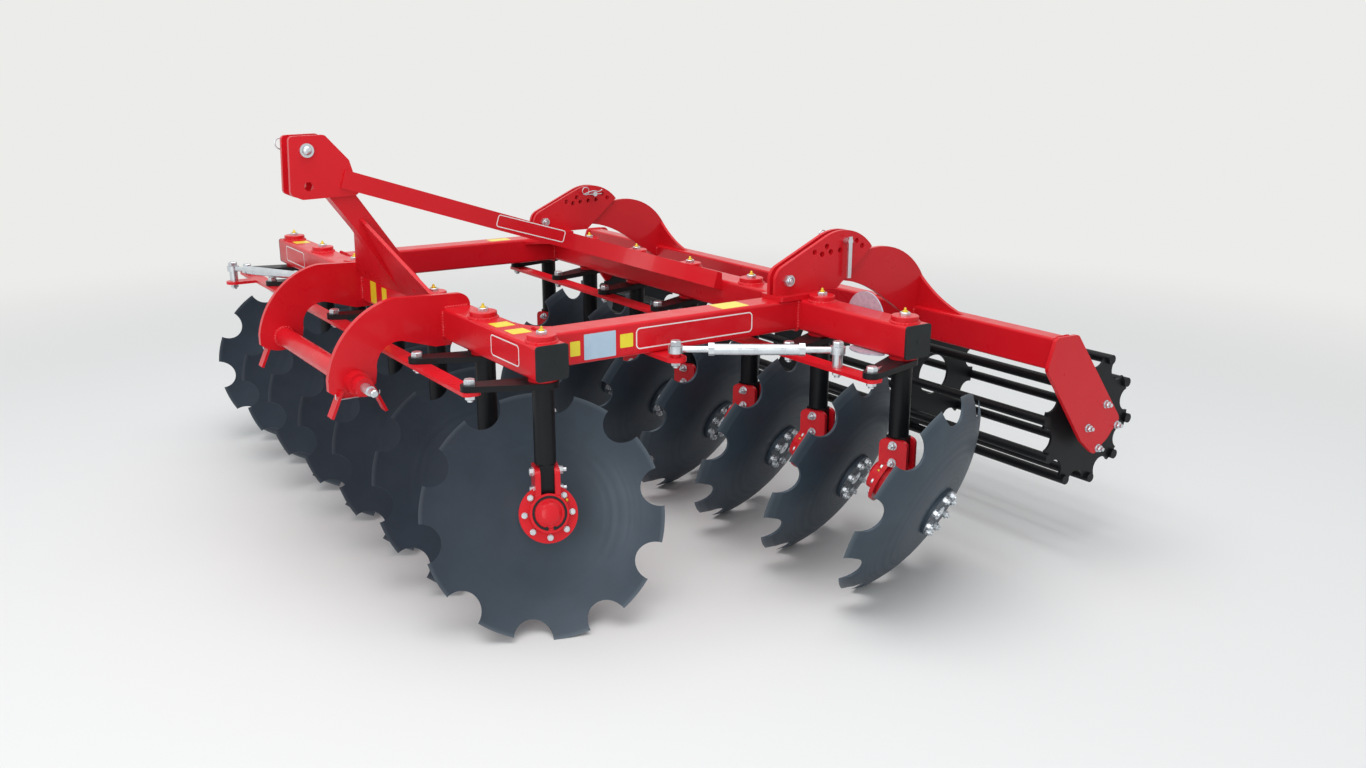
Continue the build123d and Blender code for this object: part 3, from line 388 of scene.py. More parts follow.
# Hitch and mast: flame-cut steel plates welded over the front beam, with the
# cross tube of the lower pins, the mast head for the top link, and the brace.
paint(red_enamel, "hitch_frame", "mast", "top_brace")
paint(bright_zinc, "hitch_pins")
plate_inner, plate_outer = 0.322, 0.342
lower_pin_y, lower_pin_z, tube_radius = -1.045, 0.614, 0.030
front_face = front_y - beam_half
beads = []
for side in (-1, 1):
    for x, outward in ((side * plate_outer, side), (side * plate_inner, -side)):
        top_run = np.array([(x, front_y - 0.044, beam_top), (x, front_y + 0.034, beam_top)])
        path, s = even(top_run, bead_step, False)
        beads.append(weld(path, s, (outward, 0.0, 0.0), (0.0, 0.0, 1.0), 0.006, False))
        face_run = np.array([(x, front_face, beam_bottom + 0.004), (x, front_face, beam_top - 0.006)])
        path, s = even(face_run, bead_step, False)
        beads.append(weld(path, s, (outward, 0.0, 0.0), (0.0, -1.0, 0.0), 0.006, False))
    tube_end = np.array([side * plate_inner, lower_pin_y, lower_pin_z])
    tube_ring = tube_end + tube_radius * np.stack([0 * turn, np.cos(turn), np.sin(turn)], -1)
    path, s = even(tube_ring, bead_step, True)
    radial = (path - tube_end) / tube_radius
    beads.append(weld(path, s, radial, (-side, 0.0, 0.0), 0.006, True))
put("hitch_welds", joined(*beads), "frame", red_enamel)

# Top link pin: a linch pin with a sprung wire ring through its far end, and a
# domed end on its washer on the near side, all zinc-plated.


def wire(points, radius, closed, sides=8):
    """A round wire along a path: circles of the given radius in the plane across the path's direction."""
    path = np.asarray(points, float)
    if closed:
        ahead = np.roll(path, -1, 0) - np.roll(path, 1, 0)
    else:
        ahead = np.gradient(path, axis=0)
    ahead /= np.linalg.norm(ahead, axis=1, keepdims=True)
    aside = np.cross(ahead, np.where(np.abs(ahead[:, :1]) < 0.8, [[1.0, 0, 0]], [[0, 0, 1.0]]))
    aside /= np.linalg.norm(aside, axis=1, keepdims=True)
    t = np.linspace(0, 2 * np.pi, sides, endpoint=False)
    across = np.cross(ahead, aside)
    ring = np.cos(t)[None, :, None] * aside[:, None] + np.sin(t)[None, :, None] * across[:, None]
    size = np.full(len(path), radius)
    if not closed:
        path = np.concatenate([path[:1], path, path[-1:]])
        ring = np.concatenate([ring[:1], ring, ring[-1:]])
        size = np.concatenate([[0], size, [0]])
    return (path[:, None] + size[:, None, None] * ring).reshape(-1, 3), quads(len(path), sides, loop=closed)


hoop_turn = np.linspace(0, 2 * np.pi, 40, endpoint=False)
hoop_circle = np.stack([0 * hoop_turn, np.cos(hoop_turn), np.sin(hoop_turn)], -1)
top_pin_y, top_pin_z = -1.040, 1.226
pin_middle = np.array([-0.056, top_pin_y, top_pin_z])
lean = np.array([0.0, -0.94, 0.34])
stem = wire(pin_middle + np.outer([-0.019, 0.0, 0.031], lean), 0.0028, False)
hoop = wire(pin_middle + 0.045 * lean + 0.0160 * hoop_circle, 0.0020, True)
dome = np.linspace(0, np.pi / 2, 6)
pin_end = turned([(0, 0)] + [(0.0127 * np.cos(a), 0.003 + 0.007 * np.sin(a)) for a in dome], 24)
pin_end = placed(pin_end, [(0.050, top_pin_y, top_pin_z)], (1, 0, 0))
put("top_link_linch_pin", joined(stem, hoop, pin_end), "frame", bright_zinc)

# Tab clips: a zinc-plated wire through the two splayed tabs under each lower
# pin, bent up at both ends so that it stays in place.
clip_y = np.array([-1.1075, -1.1075, -1.104, -0.985, -0.9825, -0.9825])
clip_z = np.array([0.5900, 0.5765, 0.5735, 0.5735, 0.5765, 0.5840])
clip_x = 0.351
clips = []
for side in (-1, 1):
    path = np.column_stack([0 * clip_y + side * clip_x, clip_y, clip_z])
    clips.append(wire(path, 0.0017, False))
put("hitch_tab_clips", joined(*clips), "frame", bright_zinc)

# Roller brackets: pairs of laser-cut steel plates on pads on the rear beam, with
# the hinge bolts of the roller arms, and a row of holes for the depth pin, which
# a sprung wire clip holds.
paint(red_enamel, "roller_brackets")
paint(bright_zinc, "bracket_pins")
bracket_x, hinge_reach, clip_reach = 0.764, 0.0310, 0.0385
hinge_y, hinge_z = 0.125, 0.849
depth_pin_y, depth_pin_z = 0.347, 0.949
hinge_ends = np.array(
    [(x + side * hinge_reach, hinge_y, hinge_z) for x in (-bracket_x, bracket_x) for side in (-1, 1)]
)
hinge_out = np.array([(side, 0, 0) for _ in range(2) for side in (-1.0, 1.0)])
bolt_end = turned(
    [
        (0, 0),
        (0.0165, 0),
        (0.0165, 0.002),
        (0.0115, 0.002),
        (0.0115, 0.0045),
        (0.0105, 0.0055),
        (0.0098, 0.0055),
        (0.0098, 0.0005),
        (0.0068, 0.0005),
        (0.0068, 0.0055),
        (0.0055, 0.007),
        (0, 0.007),
    ],
    24,
)
put("hinge_bolt_ends", placed(bolt_end, hinge_ends, hinge_out), "frame", bright_zinc)
coil = np.linspace(-np.pi / 2, -np.pi / 2 - 2.2 * np.pi, 44)
clip_path = np.concatenate(
    [
        [(0.032, -0.001), (0.0, -0.001), (-0.030, -0.001)],
        np.stack([-0.043 + 0.0145 * np.cos(coil), 0.0135 + 0.0145 * np.sin(coil)], -1),
        [(-0.024, 0.010), (-0.012, 0.0130), (0.0, 0.0122), (0.014, 0.0085), (0.022, 0.010), (0.033, 0.016)],
    ]
)
clips = []
for x in (-bracket_x + clip_reach, bracket_x - clip_reach):
    spread = np.linspace(0, 0.004, len(clip_path))
    path = np.column_stack([x + spread, depth_pin_y + clip_path[:, 0], depth_pin_z + clip_path[:, 1]])
    clips.append(wire(even(path, 0.0025, False)[0], 0.0019, False))
put("depth_pin_clips", joined(*clips), "frame", bright_zinc)

# Stalks: forged steel spindles with a lever each, dipped in black paint. They
# turn in the bushes of the cross beams.

# Dipped paint: a black of uneven tone and gloss, with soft runs some 14 mm
# across.
black_paint, tree = finish("dipped_black_paint")
where = add(tree, "ShaderNodeTexCoord", {}).outputs["Object"]
drift = add(tree, "ShaderNodeTexNoise", {"Vector": where, "Scale": 1 / 0.12, "Detail": 5.0})
tone = add(
    tree,
    "ShaderNodeMix",
    {"Factor": drift.outputs["Fac"], 6: linear("#0b0d0f"), 7: linear("#1a1d20")},
    data_type="RGBA",
)
haze = add(
    tree,
    "ShaderNodeMapRange",
    {"Value": drift.outputs["Fac"], "From Min": 0.3, "From Max": 0.7, "To Min": 0.3, "To Max": 0.48},
)
runs = add(tree, "ShaderNodeTexNoise", {"Vector": where, "Scale": 1 / 0.014, "Detail": 2.0})
skin = add(tree, "ShaderNodeBump", {"Height": runs.outputs["Fac"], "Strength": 0.08, "Distance": 0.001})
shader = add(
    tree,
    "ShaderNodeBsdfPrincipled",
    {
        "Base Color": tone.outputs[2],
        "Roughness": haze.outputs["Result"],
        "Normal": skin.outputs["Normal"],
        "IOR": 1.5,
        "Specular IOR Level": 0.2,
    },
)
add(tree, "ShaderNodeOutputMaterial", {"Surface": shader.outputs["BSDF"]})
paint(black_paint, *[f"{row}_stalk_{i}" for row in ("front", "rear") for i in range(1, 8)])

# Hubs: turned steel bearing drums with a welded fork that clamps the stalk. A
# cup on the front holds the cap with a circlip; seven bolts and a nipple are
# round it.
paint(red_enamel, *[f"{row}_hub_{i}" for row in ("front", "rear") for i in range(1, 8)])

# Blackened spring steel: a dull dark oxide. Its mottle is about 1 mm across and
# is drawn at 8 mm so that it shows.
spring_steel, tree = finish("blackened_spring_steel")
where = add(tree, "ShaderNodeTexCoord", {}).outputs["Object"]
scale = add(tree, "ShaderNodeTexNoise", {"Vector": where, "Scale": 1 / 0.008, "Detail": 3.0})
tone = add(
    tree,
    "ShaderNodeMix",
    {"Factor": scale.outputs["Fac"], 6: linear("#0d0e10"), 7: linear("#24262a")},
    data_type="RGBA",
)
shader = add(
    tree,
    "ShaderNodeBsdfPrincipled",
    {"Base Color": tone.outputs[2], "Metallic": 0.5, "Roughness": 0.42},
)
add(tree, "ShaderNodeOutputMaterial", {"Surface": shader.outputs["BSDF"]})

tilt, attack, axis_height = np.radians(23), np.radians(20), 0.323302
disc_axis = np.array([np.cos(tilt), 0, np.sin(tilt)])
disc_up = np.array([-np.sin(tilt), 0, np.cos(tilt)])
disc_side = np.array([0.0, 1.0, 0.0])
hub_centre = np.array([0, 0, axis_height])


def round_axis(angles, radius, forward):
    """Points about the disc's axis: centre + forward * axis + radius (cos a up + sin a aside)."""
    a = np.asarray(angles, float)[:, None]
    return hub_centre + forward * disc_axis + radius * (np.cos(a) * disc_up + np.sin(a) * disc_side)


def station_axes(row):
    """Rows that take a disc set's own axes to the machine's: X across at the attack angle, Z up."""
    x = np.array([(1 if row == "front" else -1) * np.cos(attack), -np.sin(attack), 0])
    return np.stack([x, np.cross([0, 0, 1.0], x), [0, 0, 1.0]])


def stalk_place(row, number):
    """X and Y of a stalk: the front row's seven stations come first, counted towards +X."""
    return stations[number - 1 + (7 if row == "rear" else 0)]


def at_station(shape, row, number):
    """A disc set's own shape moved to its station: points times the row's axes, plus the stalk's place."""
    x, y = stalk_place(row, number)
    return shape[0] @ station_axes(row) + np.array([x, y, 0]), shape[1]


cover_face, fork_face = 0.040, 0.0325
clamp_heights = (axis_height + 0.071, axis_height + 0.121)
cover_bolts = placed(
    hexed(0.013, 0.006, washer=0.0165),
    round_axis(np.arange(1, 8) * np.pi / 4, 0.0625, cover_face),
    disc_axis,
)
clamp_head = hexed(0.019, 0.008, washer=0.026)
clamp_heads = placed(clamp_head, [(0, -fork_face, z) for z in clamp_heights], (0, -1, 0))
clamp_nut = hexed(0.019, 0.011, washer=0.026, stud=0.009, thread=0.012)
clamp_nuts = placed(clamp_nut, [(0, fork_face, z) for z in clamp_heights], (0, 1, 0))
hub_bolts = joined(cover_bolts, clamp_heads, clamp_nuts)
clip_gap, clip_back, clip_front = 0.27, 0.0652, 0.0682
arc = np.linspace(np.pi + clip_gap, 3 * np.pi - clip_gap, 56)
section = ((0.0395, clip_back), (0.0448, clip_back), (0.0448, clip_front), (0.0395, clip_front))
clip_grid = np.stack([round_axis(arc, r, s) for r, s in section], 1)
clip_ends = clip_grid[[0, -1]].mean(1, keepdims=True).repeat(4, 1)
clip_grid = np.concatenate([clip_ends[:1], clip_grid, clip_ends[1:]])
circlip = clip_grid.reshape(-1, 3), quads(len(clip_grid), 4)
lugs = placed(
    turned([(0, 0), (0.005, 0), (0.005, 0.0036), (0.0016, 0.0036), (0.0016, 0.001), (0, 0.001)], 12),
    round_axis([np.pi + clip_gap, np.pi - clip_gap], 0.0405, clip_back),
    disc_axis,
)
circlip = joined(circlip, lugs)
cup_profile = [
    (0, 0.036),
    (0.0515, 0.036),
    (0.0515, 0.0655),
    (0.0500, 0.067),
    (0.0455, 0.067),
    (0.0455, 0.0652),
    (0.0385, 0.0652),
    (0.0375, 0.067),
    (0.0330, 0.067),
    (0.0230, 0.077),
    (0.0215, 0.0778),
    (0, 0.0778),
]
cup = placed(turned(cup_profile, 48), [hub_centre], disc_axis)
nipple_profile = [
    (0, 0),
    (0.0045, 0),
    (0.0045, 0.003),
    (0.0028, 0.0045),
    (0.0026, 0.007),
    (0.0034, 0.0085),
    (0.0022, 0.011),
    (0, 0.0115),
]
hub_nipple = placed(turned(nipple_profile, 10), round_axis([1.01], 0.0585, cover_face), disc_axis)
for row in ("front", "rear"):
    for number in range(1, 8):
        rider = f"{row}_swivel_{number}"
        shape = at_station(hub_bolts, row, number)
        put(f"{row}_hub_bolts_{number}", shape, rider, bright_zinc)
        put(f"{row}_hub_cup_{number}", at_station(cup, row, number), rider, red_enamel)
        put(f"{row}_circlip_{number}", at_station(circlip, row, number), rider, spring_steel)
        put(f"{row}_hub_nipple_{number}", at_station(hub_nipple, row, number), rider, yellow_zinc)

# Discs: pressed boron steel with round notches, hardened and sprayed with dark
# slate lacquer. Rolling and pressing leave faint rings round the centre, about
# 3 mm apart and drawn at 14 mm, and the ground edge is a little paler.
for row in ("front", "rear"):
    axis = disc_axis @ station_axes(row)
    for number in range(1, 8):
        lacquer, tree = finish(f"slate_disc_lacquer_{row}_{number}")
        x, y = stalk_place(row, number)
        spin = Vector(axis).to_track_quat("Z", "Y").to_euler()
        where = add(tree, "ShaderNodeTexCoord", {}).outputs["Object"]
        own = add(
            tree,
            "ShaderNodeMapping",
            {"Vector": where, "Location": (x, y, axis_height), "Rotation": spin},
            vector_type="TEXTURE",
        ).outputs["Vector"]
        flat = add(tree, "ShaderNodeVectorMath", {0: own, 1: (1.0, 1.0, 0.0)}, operation="MULTIPLY")
        reach = add(tree, "ShaderNodeVectorMath", {0: flat.outputs["Vector"]}, operation="LENGTH")
        far = reach.outputs["Value"]
        rings = add(
            tree,
            "ShaderNodeTexNoise",
            {"W": far, "Scale": 1 / 0.014, "Detail": 2.0},
            noise_dimensions="1D",
        )
        stain = add(tree, "ShaderNodeTexNoise", {"Vector": own, "Scale": 1 / 0.09, "Detail": 5.0})
        tone = add(
            tree,
            "ShaderNodeMix",
            {"Factor": stain.outputs["Fac"], 6: linear("#2e3a45"), 7: linear("#3d4b57")},
            data_type="RGBA",
        )
        edge = add(
            tree,
            "ShaderNodeMapRange",
            {"Value": far, "From Min": 0.318, "From Max": 0.33, "To Min": 0.0, "To Max": 0.5},
        )
        pale = add(
            tree,
            "ShaderNodeMix",
            {"Factor": edge.outputs["Result"], 6: tone.outputs[2], 7: linear("#67737b")},
            data_type="RGBA",
        )
        gloss = add(
            tree,
            "ShaderNodeMapRange",
            {"Value": rings.outputs["Fac"], "From Min": 0.3, "From Max": 0.7, "To Min": 0.43, "To Max": 0.5},
        )
        groove = add(
            tree, "ShaderNodeBump", {"Height": rings.outputs["Fac"], "Strength": 0.02, "Distance": 0.001}
        )
        shader = add(
            tree,
            "ShaderNodeBsdfPrincipled",
            {
                "Base Color": pale.outputs[2],
                "Roughness": gloss.outputs["Result"],
                "Normal": groove.outputs["Normal"],
                "Metallic": 0.25,
            },
        )
        add(tree, "ShaderNodeOutputMaterial", {"Surface": shader.outputs["BSDF"]})
        paint(lacquer, f"{row}_disc_{number}")

# Disc bolts: eight zinc-plated nuts on studs on the ring behind each disc, and
# the end of the spindle in the middle.
ring_face = -0.146
wheel_nuts = placed(
    hexed(0.019, 0.010, washer=0.024, stud=0.006, thread=0.012),
    round_axis((np.arange(8) + 0.5) * np.pi / 4, 0.0595, ring_face),
    -disc_axis,
)
spindle_profile = [
    (0, 0),
    (0.021, 0),
    (0.021, 0.003),
    (0.019, 0.005),
    (0.006, 0.005),
    (0.004, 0.002),
    (0, 0.002),
]
spindle_end = placed(turned(spindle_profile, 28), round_axis([0.0], 0.0, ring_face), -disc_axis)
for row in ("front", "rear"):
    for number in range(1, 8):
        rider = f"{row}_wheel_{number}"
        shape = at_station(joined(wheel_nuts, spindle_end), row, number)
        put(f"{row}_disc_nuts_{number}", shape, rider, bright_zinc)

# Tie bars and turnbuckles: flat steel bars along the levers, each set by a zinc
# turnbuckle. Hexagon bolts hold every lever and both ends of the turnbuckles;
# the one under a side beam has a low head, which stays clear of the beam.
paint(red_enamel, "front_tie_bar", "rear_tie_bar")
paint(
    bright_zinc,
    *[f"{row}_turnbuckle_{kind}" for row in ("front", "rear") for kind in ("barrel", "rod")],
)
lever_length = 0.185
swing, lever_ahead = lever_length * np.sin(attack), lever_length * np.cos(attack)
lever_top, tie_top, tie_underside = 0.6900, 0.6738, 0.6634
eye_top, lug_underside = 0.7313, 0.688
lever_head = hexed(0.0275, 0.0140)
low_head = hexed(0.0275, 0.0078)
spacer = turned([(0, 0), (0.0144, 0), (0.0144, 0.0362), (0, 0.0362)], 24)
lever_nut = hexed(0.024, 0.011, washer=0.032, stud=0.006, thread=0.016)
for row, way, link_pin in (("front", -1, (-1.083, -1.00284)), ("rear", 1, (1.128, 0.02316))):
    own = stations[:7] if row == "front" else stations[7:]
    eyes = own + np.array([way * swing, -lever_ahead])
    head_feet = np.column_stack([eyes, np.full(7, lever_top)])
    under_beam = (np.abs(np.abs(eyes[:, 0]) - side_beam_x) < 0.07) & (eyes[:, 1] > front_y)
    heads = placed(lever_head, head_feet[~under_beam], (0, 0, 1))
    if under_beam.any():
        heads = joined(heads, placed(low_head, head_feet[under_beam], (0, 0, 1)))
    nuts = placed(lever_nut, np.column_stack([eyes, np.full(7, tie_underside)]), (0, 0, -1))
    link_head = placed(lever_head, [(*link_pin, eye_top)], (0, 0, 1))
    link_nut = placed(lever_nut, [(*link_pin, tie_underside)], (0, 0, -1))
    collar = placed(spacer, [(*link_pin, tie_top)], (0, 0, 1))
    bolts = joined(heads, nuts, link_head, link_nut, collar)
    put(f"{row}_tie_bolts", bolts, f"{row}_tie", bright_zinc)
pivots = np.array([(-0.743, -0.818), (0.876, -0.337)])
put(
    "turnbuckle_pivot_bolts",
    joined(
        placed(lever_head, np.column_stack([pivots, [eye_top, eye_top]]), (0, 0, 1)),
        placed(lever_nut, np.column_stack([pivots, [lug_underside, lug_underside]]), (0, 0, -1)),
    ),
    "frame",
    bright_zinc,
)

# Roller frame: curved steel arms and a cross tube with slanted end plates, welded
# and painted red. Four studs and nuts hold each bearing through its end plate.
paint(red_enamel, "roller_frame")
bolt_places = np.array([(0.917, 0.476), (0.979, 0.400), (0.839, 0.414), (0.897, 0.340)])
sides = np.repeat([-1.0, 1.0], 4)
end_plate_inner, end_plate_outer = 1.335, 1.347
bolt_points = np.column_stack([sides * end_plate_outer, np.tile(bolt_places, (2, 1))])
put(
    "end_plate_bolts",
    placed(clamp_nut, bolt_points, np.column_stack([sides, 0 * sides, 0 * sides])),
    "roller_frame",
    bright_zinc,
)
tube_y, tube_z, tube_front = 0.698, 0.6605, 0.6665
tube_flat, tube_bend = np.array([0.0235, 0.0405]), 0.008
tube_outline = corner * tube_flat + tube_bend * corner_arc
arm_inner, arm_outer = 0.7565, 0.7715
beads = []
for side in (-1, 1):
    tube_end = np.array([side * end_plate_inner, tube_y, tube_z])
    path, s = even(tube_end + np.column_stack([0 * turn, tube_outline]), bead_step, True)
    outward = (path - tube_end) / np.array([1, *(tube_flat + tube_bend)])
    edge = np.abs(outward).max(1, keepdims=True)
    outward = np.where(np.abs(outward) > edge - 0.1, np.sign(outward), 0.0)
    outward /= np.linalg.norm(outward, axis=1, keepdims=True)
    beads.append(weld(path, s, (-side, 0.0, 0.0), outward, 0.006, True))
    for x, out in ((side * arm_inner, -side), (side * arm_outer, side)):
        path, s = even(np.array([(x, tube_front, 0.664), (x, tube_front, 0.702)]), bead_step, False)
        beads.append(weld(path, s, (out, 0.0, 0.0), (0.0, -1.0, 0.0), 0.005, False))
put("roller_frame_welds", joined(*beads), "roller_frame", red_enamel)

# Cage roller: round steel bars in notched plates, carried by the bearings of the
# roller frame and dipped in the same black paint as the stalks.
paint(black_paint, "roller")

# Plates and patches: a grey half-round depth plate and a scale plate of
# galvanised sheet on the rear beam, with a zinc pointer on the last lever over
# the scale, and plain vinyl patches and outlines on the paint.

# Galvanised sheet: a pale bluish grey with spangles some 12 mm across.
galvanised, tree = finish("galvanised_sheet")
where = add(tree, "ShaderNodeTexCoord", {}).outputs["Object"]
spangle = add(tree, "ShaderNodeTexVoronoi", {"Vector": where, "Scale": 1 / 0.012})
tone = add(
    tree,
    "ShaderNodeMix",
    {"Factor": spangle.outputs["Distance"], 6: linear("#b3b8c6"), 7: linear("#cdd1de")},
    data_type="RGBA",
)
shader = add(
    tree,
    "ShaderNodeBsdfPrincipled",
    {"Base Color": tone.outputs[2], "Metallic": 0.4, "Roughness": 0.42},
)
add(tree, "ShaderNodeOutputMaterial", {"Surface": shader.outputs["BSDF"]})


def slab(outline_points, normal, thickness):
    """A flat plate: its outline at two depths, with each face closed to the outline's middle."""
    p = np.asarray(outline_points, float)
    push = thickness * np.asarray(normal, float)
    middle = np.broadcast_to(p.mean(0), p.shape)
    grid = np.stack([middle, p, p + push, middle + push])
    return grid.reshape(-1, 3), quads(4, len(p))


beam_back, scale_z, pointer_z = 0.2432, 0.6955, 0.6902
half_turn = np.linspace(0, np.pi, 33)
depth_plate = np.stack(
    [0.995 + 0.075 * np.cos(half_turn), 0 * half_turn + beam_back, 0.762 + 0.075 * np.sin(half_turn)], -1
)
depth_plate = np.concatenate([depth_plate, [(0.92, beam_back, 0.715), (1.07, beam_back, 0.715)]])
sector = np.linspace(0, np.pi, 25)
scale_plate = np.stack(
    [1.106 - 0.064 * np.cos(sector), 0.156 - 0.040 * np.sin(sector), 0 * sector + scale_z], -1
)
scale_plate = np.concatenate([scale_plate, [(1.143, 0.19, scale_z), (1.05, 0.19, scale_z)]])
last_stalk = stalk_place("rear", 7)
last_eye = last_stalk + np.array([swing, -lever_ahead])
lever_line = last_stalk - last_eye
lever_line = np.array([*(lever_line / np.linalg.norm(lever_line)), 0.0])
eye = np.array([*last_eye, pointer_z])
beside = np.cross([0.0, 0.0, 1.0], lever_line)
foot = eye + 0.019 * lever_line
arrow = np.array([foot - 0.009 * beside, foot + 0.009 * beside, eye + 0.062 * lever_line])
put("angle_pointer", slab(arrow, (0, 0, 1), 0.003), "rear_swivel_7", bright_zinc)
put(
    "depth_plates",
    joined(slab(depth_plate, (0, 1, 0), 0.004), slab(scale_plate, (0, 0, 1), 0.0042)),
    "frame",
    galvanised,
)


def rounded(centre, along, up, width, height, radius, inset=0.0):
    """Outline of a rounded rectangle: corner centres plus radius (cos, sin), on two axes of a face."""
    t = np.linspace(0, 2 * np.pi, 32, endpoint=False) + np.pi / 32
    c, s = np.cos(t), np.sin(t)
    u = np.sign(c) * (width / 2 - radius) + (radius - inset) * c
    v = np.sign(s) * (height / 2 - radius) + (radius - inset) * s
    return np.asarray(centre) + u[:, None] * np.asarray(along) + v[:, None] * np.asarray(up)


def border(centre, along, up, width, height, radius, line, normal):
    """A thin raised outline: a rounded rectangle, and the same one drawn in by the line's width."""
    outer = rounded(centre, along, up, width, height, radius)
    inner = rounded(centre, along, up, width, height, radius, inset=line)
    push = 0.0004 * np.asarray(normal, float)
    grid = np.stack([outer, outer + push, inner + push, inner], 1)
    return grid.reshape(-1, 3), quads(32, 4, loop=True)


# Vinyl film: flat colour under a thin clear skin, a little faded over some 30 mm.
vinyl = {}
for tint, dark, light in (
    ("yellow", "#e8d40a", "#f6e63a"),
    ("white", "#e4e4e2", "#f4f4f2"),
    ("pale_blue", "#a7c3d8", "#bcd3e4"),
):
    vinyl[tint], tree = finish(f"{tint}_vinyl_film")
    where = add(tree, "ShaderNodeTexCoord", {}).outputs["Object"]
    fade = add(tree, "ShaderNodeTexNoise", {"Vector": where, "Scale": 1 / 0.03, "Detail": 3.0})
    tone = add(
        tree,
        "ShaderNodeMix",
        {"Factor": fade.outputs["Fac"], 6: linear(dark), 7: linear(light)},
        data_type="RGBA",
    )
    shader = add(
        tree,
        "ShaderNodeBsdfPrincipled",
        {"Base Color": tone.outputs[2], "Roughness": 0.35, "Coat Weight": 0.3, "Coat Roughness": 0.15},
    )
    add(tree, "ShaderNodeOutputMaterial", {"Surface": shader.outputs["BSDF"]})

x_axis, y_axis, z_axis = np.eye(3)
side_face = side_beam_x + beam_half
film, line = 0.0005, 0.0035
patches = {tint: [] for tint in vinyl}
for tint, y, z, wide, high in (
    ("pale_blue", -0.533, 0.744, 0.098, 0.070),
    ("yellow", -0.609, 0.744, 0.030, 0.040),
    ("yellow", -0.450, 0.746, 0.041, 0.038),
):
    spot = rounded((side_face, y, z), y_axis, z_axis, wide, high, 0.003)
    patches[tint].append(slab(spot, x_axis, film))
side_plate = border((side_face, -0.221, beam_middle), y_axis, z_axis, 0.398, 0.060, 0.014, line, x_axis)
patches["white"].append(side_plate)
for x, y, wide, deep in ((0.760, -0.072, 0.070, 0.095), (-0.760, -0.070, 0.050, 0.085)):
    spot = rounded((x, y, beam_top), x_axis, y_axis, wide, deep, 0.004)
    patches["yellow"].append(slab(spot, z_axis, film))
for x, z, wide, high in ((-0.219, 0.746, 0.050, 0.072), (-0.122, 0.750, 0.040, 0.052)):
    spot = rounded((x, front_face, z), x_axis, z_axis, wide, high, 0.003)
    patches["yellow"].append(slab(spot, -y_axis, film))
for x, wide in ((0.737, 0.165), (-1.052, 0.22)):
    front_plate = border((x, front_face, 0.749), x_axis, z_axis, wide, 0.058, 0.012, line, -y_axis)
    patches["white"].append(front_plate)
for x in (0.628, 0.725, -1.115):
    spot = rounded((x, front_y, beam_top), x_axis, y_axis, 0.055, 0.055, 0.003)
    patches["yellow"].append(slab(spot, z_axis, film))
brace_run, brace_fall = 0.241, 0.072
slope = np.array([0, brace_run, -brace_fall]) / np.hypot(brace_run, brace_fall)
rise = np.array([0, brace_fall, brace_run]) / np.hypot(brace_run, brace_fall)
patches["white"].append(border((0.050, -0.339, 0.951), slope, rise, 0.25, 0.040, 0.009, 0.003, x_axis))
for tint, shapes in patches.items():
    put(f"{tint}_patches", joined(*shapes), "frame", vinyl[tint])

# Studio: a plain pale floor that fades into the background from 2.2 to 6 m, one
# broad soft lamp overhead, a fill from the camera's side, and the camera at
# the photo's angle.
ticks = np.linspace(-30, 30, 9)
floor_grid = np.stack(np.meshgrid(ticks, ticks, [0.0], indexing="ij"), -1).reshape(-1, 3)
floor_mesh = bpy.data.meshes.new("studio_floor")
floor_mesh.from_pydata(floor_grid.tolist(), [], quads(9, 9, ring=False).tolist())
floor = bpy.data.objects.new("studio_floor", floor_mesh)
bpy.context.scene.collection.objects.link(floor)


def shown(tree):
    """One for camera, mirrored and refracted rays, and nought for light that falls on things."""
    rays = add(tree, "ShaderNodeLightPath", {}).outputs
    seen = rays["Is Camera Ray"]
    for kind in ("Is Glossy Ray", "Is Transmission Ray"):
        seen = add(tree, "ShaderNodeMath", {0: seen, 1: rays[kind]}, operation="MAXIMUM").outputs["Value"]
    return seen


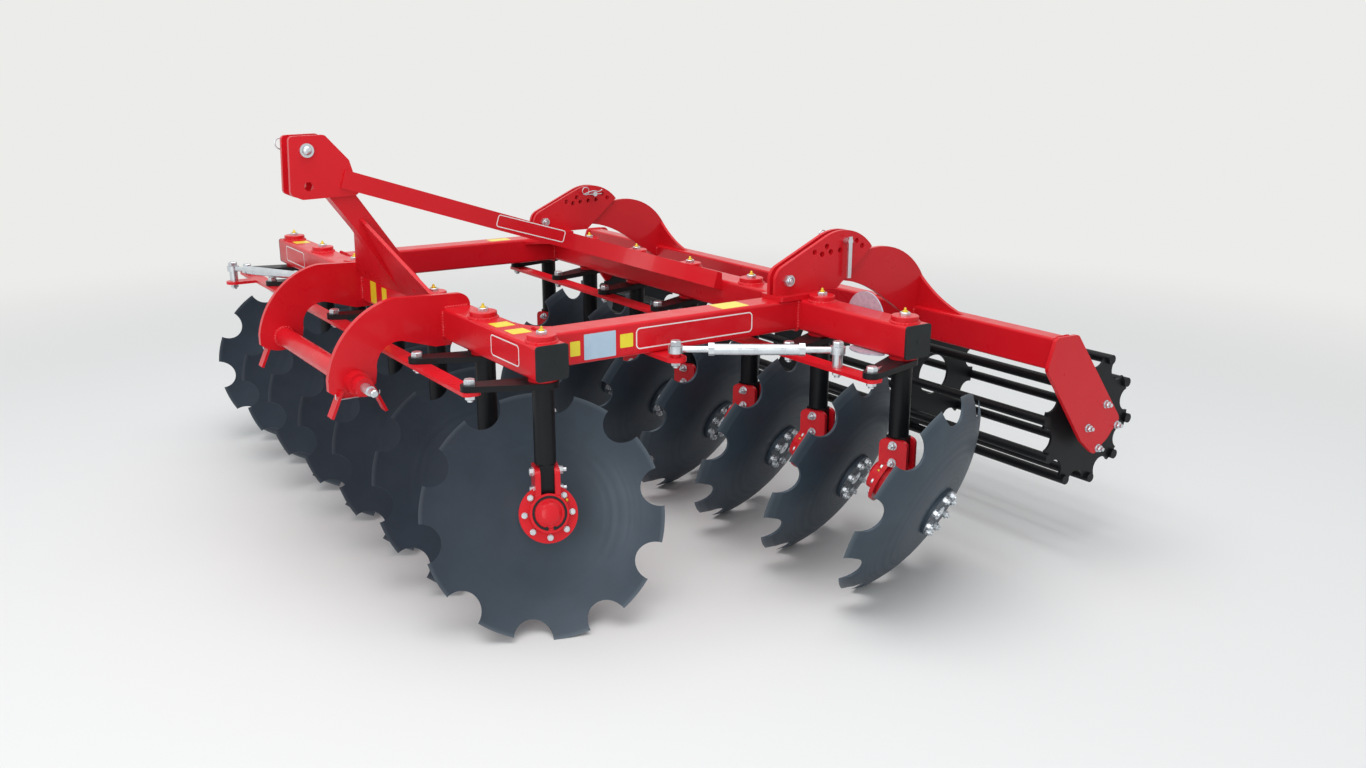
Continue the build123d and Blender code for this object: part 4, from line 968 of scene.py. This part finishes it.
pale_floor, tree = finish("pale_studio_floor")
where = add(tree, "ShaderNodeTexCoord", {}).outputs["Object"]
far = add(tree, "ShaderNodeVectorMath", {0: where}, operation="LENGTH").outputs["Value"]
fade = add(
    tree,
    "ShaderNodeMapRange",
    {"Value": far, "From Min": 2.2, "From Max": 6.0},
    interpolation_type="SMOOTHSTEP",
)
veil = add(tree, "ShaderNodeMath", {0: fade.outputs["Result"], 1: shown(tree)}, operation="MULTIPLY")
shader = add(tree, "ShaderNodeBsdfPrincipled", {"Base Color": linear("#e6e6e4"), "Roughness": 0.9})
glow = add(tree, "ShaderNodeEmission", {"Color": linear("#ececea"), "Strength": 1.0})
mixed = add(
    tree,
    "ShaderNodeMixShader",
    {0: veil.outputs["Value"], 1: shader.outputs["BSDF"], 2: glow.outputs["Emission"]},
)
add(tree, "ShaderNodeOutputMaterial", {"Surface": mixed.outputs["Shader"]})
floor_mesh.materials.append(pale_floor)

world = bpy.data.worlds.new("studio_air")
bpy.context.scene.world = world
world.use_nodes = True
tree = world.node_tree
tree.nodes.clear()
air = add(tree, "ShaderNodeBackground", {"Color": linear("#e9edf2"), "Strength": 0.72})
backdrop = add(tree, "ShaderNodeBackground", {"Color": linear("#ececea"), "Strength": 1.0})
mixed = add(tree, "ShaderNodeMixShader", {0: shown(tree), 1: air.outputs[0], 2: backdrop.outputs[0]})
add(tree, "ShaderNodeOutputWorld", {"Surface": mixed.outputs["Shader"]})


def lamp(name, place, target, size, watts):
    """A square soft lamp at a place, turned to face a target."""
    data = bpy.data.lights.new(name, "AREA")
    data.size, data.energy = size, watts
    made = bpy.data.objects.new(name, data)
    made.location = place
    made.rotation_euler = (Vector(target) - Vector(place)).to_track_quat("-Z", "Y").to_euler()
    bpy.context.scene.collection.objects.link(made)


lamp("overhead_softbox", (0.6, -0.8, 5.2), (0, 0, 0.6), 5.0, 170)
lamp("camera_side_fill", (4.5, -5.0, 2.6), (0, 0, 0.5), 3.5, 110)

right = Vector((0.56405438, 0.82573149, 0.00318915))
up = Vector((-0.22153299, 0.14760558, 0.96391687))
back = Vector((0.79546577, -0.54440803, 0.26618434))
camera_data = bpy.data.cameras.new("photo_camera")
camera_data.lens, camera_data.sensor_width, camera_data.sensor_fit = 31.25, 36.0, "HORIZONTAL"
camera = bpy.data.objects.new("photo_camera", camera_data)
facing = Matrix((right, up, back)).transposed().to_4x4()
camera.matrix_world = Matrix.Translation((3.4679, -2.0864, 1.4862)) @ facing
bpy.context.scene.collection.objects.link(camera)
bpy.context.scene.camera = camera
bpy.context.scene.view_settings.view_transform = "Standard"
